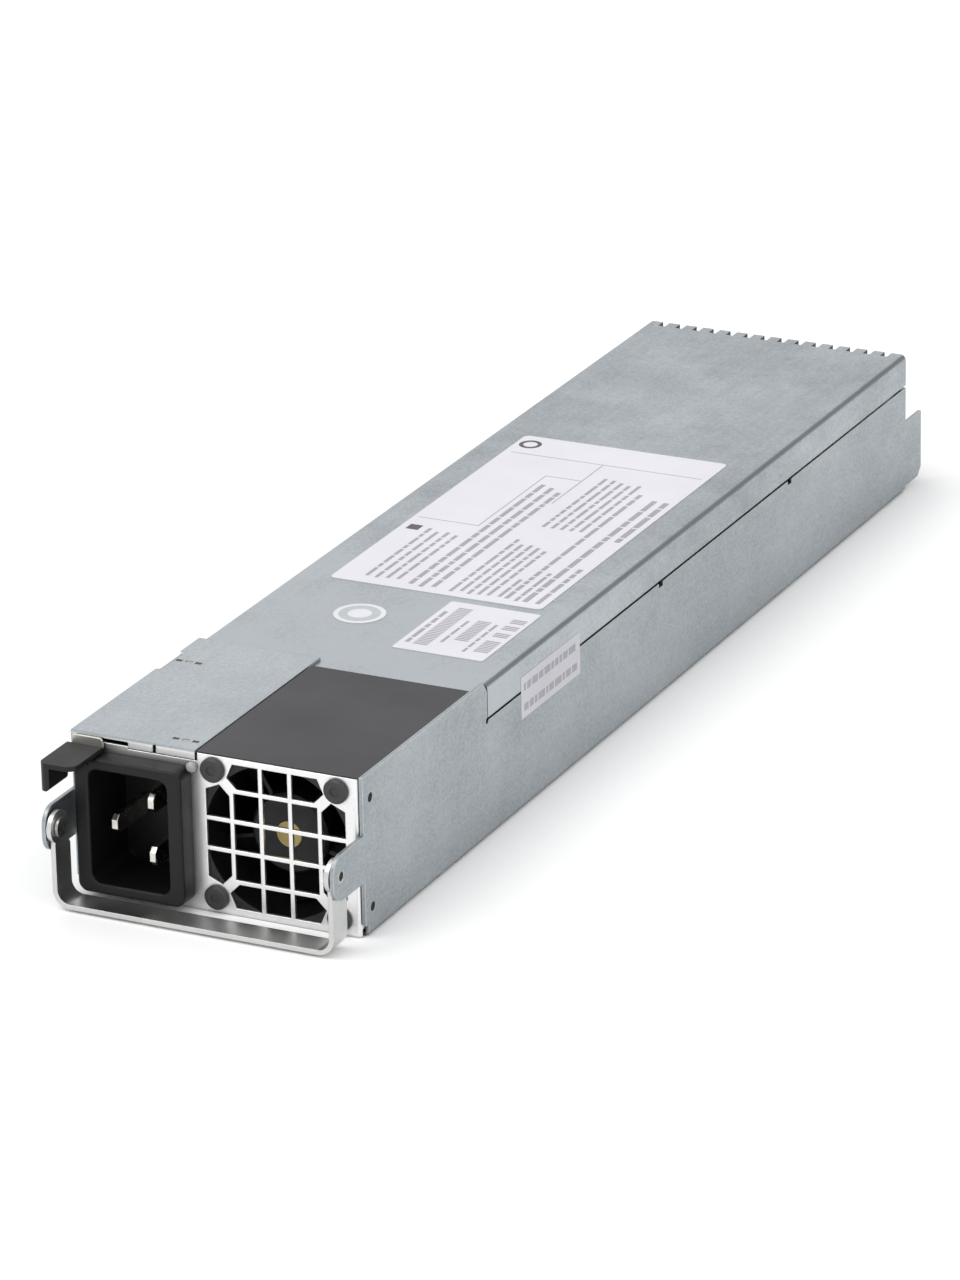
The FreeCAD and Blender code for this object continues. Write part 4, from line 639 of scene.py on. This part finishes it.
    # Screen printed ink: the tone of the sheet round the label.
    SILVER_INK = CoatedSurface("silver_grey_ink", "#B4B9BC", "#A8ADB1", roughness=0.45)
    # Stamped foil disc: pale dull gold.
    HUB = CoatedSurface("pale_gold_hub_foil", "#CBB986", "#A28C52", roughness=0.4, metallic=0.5)
    # Cast acrylic: clear, with a little milk that makes it read as unlit.
    LENS = ClearLens("clear_acrylic_lens", "#DEE1DC", "#C2C7C1")


class FinishStore:
    """Makes each finish once and hands it out."""

    def __init__(self) -> None:
        """Start with nothing made."""
        self.made: dict[Finish, Material] = {}

    def get(self, finish: Finish) -> Material:
        """Give a finish's material, made on its first use.

        Args:
            finish: The finish.

        Returns:
            Its material.
        """
        if finish not in self.made:
            self.made[finish] = finish.value.build()
        return self.made[finish]


STORE = FinishStore()


def dress(node: str, finish: Finish) -> None:
    """Give a solid of the frame its finish.

    Args:
        node: The solid's name.
        finish: The finish that it gets.
    """
    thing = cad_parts[node]
    thing.data.materials.clear()
    thing.data.materials.append(STORE.get(finish))
    log.info("%s: %s", node, finish.name)


def new_piece(name: str, mesh: Mesh, finish: Finish, body: str) -> None:
    """Finish a mesh as a piece of the object.

    Args:
        name: The piece's plain name.
        mesh: Its shape, in the frame's metres.
        finish: Its finish.
        body: The moving body that it rides on.
    """
    data = bpy.data.meshes.new(name)
    bmesh.ops.recalc_face_normals(mesh, faces=mesh.faces)
    mesh.to_mesh(data)
    mesh.free()
    thing = bpy.data.objects.new(name, data)
    bpy.context.scene.collection.objects.link(thing)
    data.materials.append(STORE.get(finish))
    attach(thing, body)
    log.info("%s: %d faces", name, len(data.polygons))


def add_block(mesh: Mesh, low: Vector, high: Vector) -> None:
    """Add a rectangular block to a mesh.

    Args:
        mesh: The mesh that gets it.
        low: Its lowest corner.
        high: Its highest corner.
    """
    size = Matrix.Diagonal((*(high - low), 1.0))
    bmesh.ops.create_cube(mesh, size=1.0, matrix=Matrix.Translation((low + high) / 2) @ size)


@dataclass
class Housing:
    """The folded sheet metal case and its films."""

    # Where the two clinches stand: across the case, and back from the front plate.
    clinches: tuple[Span, ...] = ((-32.8 * MM, 48.7 * MM), (-10.1 * MM, 5.0 * MM))
    mark_spread: float = 2.6 * MM
    mark_half: tuple[float, float, float] = (0.74 * MM, 0.54 * MM, 0.1 * MM)
    mark_sunk: float = 0.08 * MM

    def build(self) -> None:
        """Dress the sheets and lay the clinch marks."""
        dress("base_shell", Finish.ZINC)
        dress("top_cover", Finish.ZINC_COVER)
        dress("inlet_cover_plate", Finish.ZINC_LID)
        dress("front_plate", Finish.ZINC_PLATE)
        dress("fan_film_upper", Finish.FILM)
        dress("fan_film_lower", Finish.FILM)
        self.clinch_marks()

    def clinch_marks(self) -> None:
        """Lay painted reflection in each clinch of the inlet's cover plate: two dark marks with a painted
        glint in the middle.
        """
        half = Vector(self.mark_half)
        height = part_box("inlet_cover_plate")[1].z - self.mark_sunk - half.z
        for name, steps, finish in (("clinch_marks", (-1, 1), Finish.CLINCH_DARK_REFLECTION),
                                    ("clinch_middles", (0,), Finish.CLINCH_GLINT)):
            mesh = bmesh.new()
            for across, back in self.clinches:
                for step in steps:
                    middle = Vector((across + step * self.mark_spread, back - HALF_LENGTH, height))
                    add_block(mesh, middle - half, middle + half)
            new_piece(name, mesh, finish, "chassis")


@dataclass
class FanPair:
    """The two fans behind the grille and the rivets that hold them."""

    foil_radius: float = 3.2 * MM
    foil_thick: float = 0.12 * MM
    foil_sides: int = 48
    rim_wide: float = 0.3 * MM
    rim_deep: float = 0.04 * MM

    def build(self) -> None:
        """Dress the fans and put a blank foil on the front hub."""
        for node in ("fan_frame_front", "fan_frame_rear", "fan_rotor_front", "fan_rotor_rear"):
            dress(node, Finish.FAN)
        dress("fan_push_rivets", Finish.NYLON)
        self.hub_foil()

    def hub_foil(self) -> None:
        """Lay a blank round foil on the front rotor's cup, with a fine raised rim."""
        low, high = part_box("fan_frame_front")
        hub_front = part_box("fan_rotor_front")[0].y
        middle = Vector(((low.x + high.x) / 2, hub_front - self.foil_thick / 2, (low.z + high.z) / 2))
        upright = Matrix.Rotation(math.radians(90), 4, "X")
        mesh = bmesh.new()
        bmesh.ops.create_cone(mesh, cap_ends=True, segments=self.foil_sides, radius1=self.foil_radius,
                              radius2=self.foil_radius, depth=self.foil_thick,
                              matrix=Matrix.Translation(middle) @ upright)
        outer = [min(mesh.faces, key=lambda face: face.calc_center_median().y)]
        bmesh.ops.inset_region(mesh, faces=outer, thickness=self.rim_wide, depth=0.0)
        bmesh.ops.inset_region(mesh, faces=outer, thickness=self.rim_wide, depth=-self.rim_deep)
        new_piece("hub_foil", mesh, Finish.HUB, "front_rotor")


@dataclass
class MainsInlet:
    """The mains inlet and the status light beside it."""

    def build(self) -> None:
        """Dress the inlet, its blades and the light."""
        dress("inlet_housing", Finish.INLET)
        dress("inlet_pins", Finish.BLADE)
        dress("status_light", Finish.LENS)


@dataclass
class BailHandle:
    """The bail handle on its two rivets."""

    def build(self) -> None:
        """Dress the strap and its rivets."""
        dress("handle", Finish.STRAP)
        dress("handle_rivets", Finish.RIVET)


@dataclass
class SpringLatch:
    """The spring leaf, its finger tab and rivets."""

    def build(self) -> None:
        """Dress the latch."""
        dress("latch_leaf", Finish.SPRING)
        dress("latch_touch", Finish.TOUCH)
        dress("latch_rivets", Finish.RIVET)


@dataclass(frozen=True)
class RuleBlock:
    """Rows of broken rules that run along a label, in millimetres from its near left corner."""

    across: float
    pitch: float
    rows: int
    start: float
    end: float
    wide: float = 1.0


@dataclass(frozen=True)
class BarBand:
    """A band of even bars across a label, in millimetres from its near left corner."""

    left: float
    right: float
    start: float
    end: float


@dataclass
class Labels:
    """Blank labels, with plain grey rules, bars and rings where print would be. Sizes are in millimetres."""

    seed: int = 7
    ink_thick: float = 0.02
    word_gap: float = 0.7
    word_room: float = 1.5
    word_longest: float = 8.0
    word_least_share: float = 0.25
    ragged_start: float = 1.5
    ragged_end: float = 4.0
    rating_blocks: tuple[RuleBlock, ...] = (
        RuleBlock(8.0, 2.75, 4, 4.0, 41.0), RuleBlock(20.5, 3.1, 3, 2.5, 82.0, 1.3),
        RuleBlock(31.8, 2.45, 5, 2.5, 42.0), RuleBlock(33.5, 2.55, 5, 52.0, 91.0),
        RuleBlock(44.5, 2.4, 1, 2.5, 20.0), RuleBlock(46.6, 2.4, 1, 2.5, 84.0, 1.2),
        RuleBlock(49.4, 2.4, 1, 2.5, 24.0), RuleBlock(51.8, 2.4, 1, 2.5, 83.5, 1.5),
        RuleBlock(55.2, 2.4, 1, 2.5, 31.0, 1.3), RuleBlock(55.2, 2.4, 1, 48.0, 84.0, 1.6))
    divider_wide: float = 0.3
    divider_edges: Span = (2.0, 56.0)
    divider_start: float = 1.5
    divider_left: float = 18.0
    divider_right: float = 28.2
    divider_near: float = 46.6
    divider_middle: float = 86.3
    divider_far: float = 99.4
    divider_stop: float = 68.6
    square_corner: Span = (2.0, 38.0)
    square_side: float = 3.4
    mark_middle: Span = (4.2, 106.6)
    mark_radius: float = 3.0
    mark_wide: float = 1.1
    small_blocks: tuple[RuleBlock, ...] = (
        RuleBlock(1.9, 2.0, 1, 4.0, 30.0, 1.1), RuleBlock(9.7, 2.0, 1, 7.0, 25.0, 0.8),
        RuleBlock(17.2, 2.0, 1, 3.5, 28.0, 0.8))
    small_bands: tuple[BarBand, ...] = (
        BarBand(3.7, 7.5, 4.0, 30.0), BarBand(11.8, 15.4, 10.0, 24.0), BarBand(19.3, 23.2, 5.0, 13.0),
        BarBand(19.3, 23.2, 15.5, 18.0), BarBand(19.3, 23.2, 20.5, 23.0), BarBand(19.3, 23.2, 25.0, 28.0))
    bar_wide: float = 0.6
    bar_pitch: float = 1.0
    seal_low_row: float = 2.6
    seal_high_row: float = 3.0
    seal_rule_half: float = 0.95
    seal_margin: float = 1.6
    seal_word_longest: float = 4.0
    round_radius: float = 5.2
    round_wide: float = 2.2
    ring_sides: int = 64

    def build(self) -> None:
        """Dress the labels and lay their rules."""
        for node in ("rating_label", "small_label", "round_label"):
            dress(node, Finish.PAPER)
        dress("seal_label", Finish.SEAL)
        self.rating_rules()
        self.rating_marks()
        self.small_rules()
        self.seal_rules()
        self.round_ring()

    def corner(self, label: str) -> Vector:
        """The near left corner of a label's top."""
        low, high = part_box(label)
        return Vector((low.x, low.y, high.z))

    def bar(self, mesh: Mesh, corner: Vector, across: Span, along: Span) -> None:
        """Lay one flat bar of ink on a label.

        Args:
            mesh: The print that gets it.
            corner: The label's near left corner, on its top.
            across: Where it starts and ends over the width, from the corner.
            along: Where it starts and ends over the length, from the corner.
        """
        low = corner + MM * Vector((across[0], along[0], 0.0))
        add_block(mesh, low, corner + MM * Vector((across[1], along[1], self.ink_thick)))

    def ring(self, mesh: Mesh, middle: Vector, radius: float, wide: float) -> None:
        """Lay a plain flat ring of ink.

        Args:
            mesh: The print that gets it.
            middle: Its middle, on the label's top.
            radius: Its outer radius.
            wide: How wide its ink is.
        """
        others = set(mesh.faces)
        top = Matrix.Translation(middle + MM * Vector((0.0, 0.0, self.ink_thick)))
        bmesh.ops.create_circle(mesh, cap_ends=True, radius=radius * MM, segments=self.ring_sides, matrix=top)
        inside = [face for face in mesh.faces if face not in others]
        rim = bmesh.ops.inset_region(mesh, faces=inside, thickness=wide * MM, use_boundary=True)["faces"]
        bmesh.ops.delete(mesh, geom=[face for face in inside if face.is_valid], context="FACES")
        bmesh.ops.solidify(mesh, geom=rim, thickness=self.ink_thick * MM)

    def words(self, chance: random.Random, start: float, end: float, longest: float) -> list[Span]:
        """Break one row into runs of chance length, with even gaps.

        Args:
            chance: The source of the lengths.
            start: Where the row starts.
            end: Where it ends.
            longest: The longest run.

        Returns:
            Where each run starts and ends.
        """
        runs = []
        place = start
        while place < end - self.word_room:
            run = chance.uniform(longest * self.word_least_share, longest)
            runs.append((place, min(place + run, end)))
            place += run + self.word_gap
        return runs

    def rows(self, mesh: Mesh, corner: Vector, blocks: Iterable[RuleBlock], chance: random.Random) -> None:
        """Lay the rows of broken rules of a label's blocks.

        Args:
            mesh: The print that gets them.
            corner: The label's near left corner, on its top.
            blocks: The blocks of rows.
            chance: The source of the ragged ends and the runs' lengths.
        """
        for block in blocks:
            for row in range(block.rows):
                middle = block.across + row * block.pitch
                start = block.start + chance.uniform(0.0, self.ragged_start)
                end = block.end - chance.uniform(0.0, self.ragged_end)
                for run in self.words(chance, start, end, self.word_longest):
                    self.bar(mesh, corner, (middle - block.wide / 2, middle + block.wide / 2), run)

    def rating_rules(self) -> None:
        """Lay the large label's rows of rules and the fine lines that divide them."""
        corner = self.corner("rating_label")
        mesh = bmesh.new()
        self.rows(mesh, corner, self.rating_blocks, random.Random(self.seed))
        far = (self.divider_far, self.divider_far + self.divider_wide)
        middle = (self.divider_middle, self.divider_middle + self.divider_wide)
        near = (self.divider_near, self.divider_near + self.divider_wide)
        left = (self.divider_left, self.divider_left + self.divider_wide)
        right = (self.divider_right, self.divider_right + self.divider_wide)
        for across, along in ((self.divider_edges, far), (right, (self.divider_stop, self.divider_far)),
                              (left, (self.divider_near, self.divider_middle)),
                              ((self.divider_left, self.divider_right), middle),
                              ((self.divider_start, self.divider_left), near)):
            self.bar(mesh, corner, across, along)
        new_piece("rating_rules", mesh, Finish.INK, "chassis")

    def rating_marks(self) -> None:
        """Lay a plain dark square and a plain dark ring on the large label."""
        corner = self.corner("rating_label")
        left, near = self.square_corner
        mesh = bmesh.new()
        self.bar(mesh, corner, (left, left + self.square_side), (near, near + self.square_side))
        self.ring(mesh, corner + MM * Vector((*self.mark_middle, 0.0)), self.mark_radius, self.mark_wide)
        new_piece("rating_dark_marks", mesh, Finish.DARK_INK, "chassis")

    def small_rules(self) -> None:
        """Lay the small label's rows and its bands of even bars."""
        corner = self.corner("small_label")
        mesh = bmesh.new()
        self.rows(mesh, corner, self.small_blocks, random.Random(self.seed + 1))
        for band in self.small_bands:
            place = band.start
            while place < band.end:
                self.bar(mesh, corner, (band.left, band.right), (place, place + self.bar_wide))
                place += self.bar_pitch
        new_piece("small_rules", mesh, Finish.INK, "chassis")

    def seal_rules(self) -> None:
        """Lay two rows of broken rules on the seal, on the side of the case."""
        low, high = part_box("seal_label")
        chance = random.Random(self.seed + 2)
        last = (high.y - low.y) / MM - self.seal_margin
        mesh = bmesh.new()
        for height in (low.z + self.seal_low_row * MM, high.z - self.seal_high_row * MM):
            for start, end in self.words(chance, self.seal_margin, last, self.seal_word_longest):
                base = Vector((high.x, low.y, height))
                add_block(mesh, base + MM * Vector((0.0, start, -self.seal_rule_half)),
                          base + MM * Vector((self.ink_thick, end, self.seal_rule_half)))
        new_piece("seal_rules", mesh, Finish.INK, "chassis")

    def round_ring(self) -> None:
        """Lay a plain broad ring on the round label."""
        low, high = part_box("round_label")
        mesh = bmesh.new()
        self.ring(mesh, Vector(((low.x + high.x) / 2, (low.y + high.y) / 2, high.z)), self.round_radius,
                  self.round_wide)
        new_piece("round_ring", mesh, Finish.SILVER_INK, "chassis")


@dataclass
class Circuitry:
    """The board and everything on it, inside the case."""

    finishes: dict[str, Finish] = field(default_factory=lambda: {
        "main_board": Finish.MASK, "control_board": Finish.MASK, "edge_contacts": Finish.GOLD,
        "insulation_sheet": Finish.FISH_PAPER, "board_standoffs": Finish.BRASS, "board_screws": Finish.SCREW,
        "wire_line": Finish.BROWN_WIRE, "wire_neutral": Finish.BLUE_WIRE, "wire_earth": Finish.GREEN_WIRE,
        "fan_leads": Finish.BROWN_WIRE, "fan_socket": Finish.SOCKET, "fuse": Finish.CERAMIC,
        "relay": Finish.EPOXY, "filter_capacitors": Finish.YELLOW, "filter_choke_core": Finish.CORE,
        "filter_choke_winding": Finish.COPPER, "bulk_capacitors": Finish.SLEEVE,
        "boost_choke_core": Finish.CORE, "boost_choke_winding": Finish.COPPER,
        "input_heatsink": Finish.ALUMINIUM, "input_transistors": Finish.EPOXY,
        "bridge_rectifier": Finish.EPOXY, "transformer_core": Finish.FERRITE,
        "transformer_winding": Finish.TAPE, "output_heatsink": Finish.ALUMINIUM,
        "output_transistors": Finish.EPOXY, "output_choke": Finish.FERRITE,
        "output_capacitors": Finish.SLEEVE})

    def build(self) -> None:
        """Dress every part on the board."""
        for node, finish in self.finishes.items():
            dress(node, finish)


@dataclass(frozen=True)
class Lamp:
    """A broad soft sun, with its spread, heading and height in degrees."""

    name: str
    strength: float
    spread: float
    heading: float
    height: float


@dataclass
class Studio:
    """Pale floor, soft lamps, white surroundings and the camera."""

    # The camera's place from the middle of the front plate's foot: right, back and up.
    camera_mm: tuple[float, float, float] = (670.4, -1217.8, 611.4)
    azimuth: float = 26.29
    elevation: float = 21.41
    roll: float = -1.17
    sensor: float = 36.0
    focal_pixels: float = 6521.0
    image_wide: float = 960.0
    near_and_far: Span = (0.05, 50.0)
    # A wide soft key from the upper left, and a weak fill from the right front.
    lamps: tuple[Lamp, ...] = (Lamp("key", 1.1, 40.0, -35.0, 62.0), Lamp("fill", 0.45, 70.0, 60.0, 30.0))
    ambient: float = 0.84
    floor_size: float = 14.0
    floor_tones: tuple[str, str] = ("#F7F7F7", "#FAFAFA")
    floor_drift_mm: float = 500.0
    floor_roughness: float = 0.9
    floor_sheen: float = 0.1

    def build(self) -> None:
        """Make the floor, the light and the camera."""
        self.floor()
        self.surroundings()
        self.light()
        self.camera()
        bpy.context.scene.view_settings.view_transform = "Standard"

    def place(self, name: str, data: bpy.types.ID) -> bpy.types.Object:
        """Put a new object in the scene.

        Args:
            name: Its plain name.
            data: Its mesh, light or camera.

        Returns:
            The object.
        """
        thing = bpy.data.objects.new(name, data)
        bpy.context.scene.collection.objects.link(thing)
        return thing

    def floor(self) -> None:
        """Make a plain pale floor just under the object."""
        mesh = bmesh.new()
        bmesh.ops.create_grid(mesh, x_segments=1, y_segments=1, size=self.floor_size / 2)
        data = bpy.data.meshes.new("floor")
        mesh.to_mesh(data)
        mesh.free()
        self.place("floor", data)
        material, tree = start_material("pale_floor_board")
        spot = add(tree, "ShaderNodeTexCoord").outputs["Object"]
        drift = add(tree, "ShaderNodeTexNoise", {"Vector": spot, "Scale": per_metre(self.floor_drift_mm),
                                                 "Detail": 2.0}).outputs["Fac"]
        end_material(tree, {"Base Color": between_tones(tree, drift, NOISE_SPAN, *self.floor_tones),
                            "Roughness": self.floor_roughness, "Specular IOR Level": self.floor_sheen})
        data.materials.append(material)

    def surroundings(self) -> None:
        """Make surroundings that are white to the camera and reflections, and light softly and evenly."""
        world = bpy.data.worlds.new("studio")
        bpy.context.scene.world = world
        world.use_nodes = True
        tree = world.node_tree
        tree.nodes.clear()
        path = add(tree, "ShaderNodeLightPath")
        seen = add(tree, "ShaderNodeMath", {0: path.outputs["Is Camera Ray"],
                                            1: path.outputs["Is Glossy Ray"]}, operation="MAXIMUM")
        shown = add(tree, "ShaderNodeMath", {0: seen.outputs["Value"],
                                             1: path.outputs["Is Transmission Ray"]}, operation="MAXIMUM")
        strength = add(tree, "ShaderNodeMapRange", {"Value": shown.outputs["Value"], "To Min": self.ambient,
                                                    "To Max": 1.0})
        back = add(tree, "ShaderNodeBackground", {"Color": linear("#FFFFFF"),
                                                  "Strength": strength.outputs["Result"]})
        add(tree, "ShaderNodeOutputWorld", {"Surface": back.outputs["Background"]})

    def light(self) -> None:
        """Hang the lamps."""
        for lamp in self.lamps:
            data = bpy.data.lights.new(lamp.name, "SUN")
            data.energy = lamp.strength
            data.angle = math.radians(lamp.spread)
            turn = (math.radians(90.0 - lamp.height), 0.0, math.radians(lamp.heading))
            self.place(lamp.name, data).rotation_euler = turn

    def camera(self) -> None:
        """Make a camera at the photograph's place and angle."""
        data = bpy.data.cameras.new("camera")
        data.sensor_fit = "HORIZONTAL"
        data.sensor_width = self.sensor
        data.lens = self.focal_pixels / self.image_wide * self.sensor
        data.clip_start, data.clip_end = self.near_and_far
        camera = self.place("camera", data)
        across = math.radians(self.azimuth)
        down = math.radians(self.elevation)
        back = Vector((math.sin(across) * math.cos(down), -math.cos(across) * math.cos(down), math.sin(down)))
        aim = back.to_track_quat("Z", "Y")
        camera.rotation_mode = "QUATERNION"
        camera.rotation_quaternion = aim @ Quaternion((0.0, 0.0, 1.0), math.radians(self.roll))
        camera.location = MM * Vector(self.camera_mm) - Vector((0.0, HALF_LENGTH, 0.0))
        bpy.context.scene.camera = camera


def main() -> None:
    """Build every sub-assembly in order, and log each as it is done."""
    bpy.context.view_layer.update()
    for part in (Housing(), FanPair(), MainsInlet(), BailHandle(), SpringLatch(), Labels(), Circuitry(),
                 Studio()):
        part.build()
        log.info("%s done", type(part).__name__)


if __name__ == "__main__":
    main()
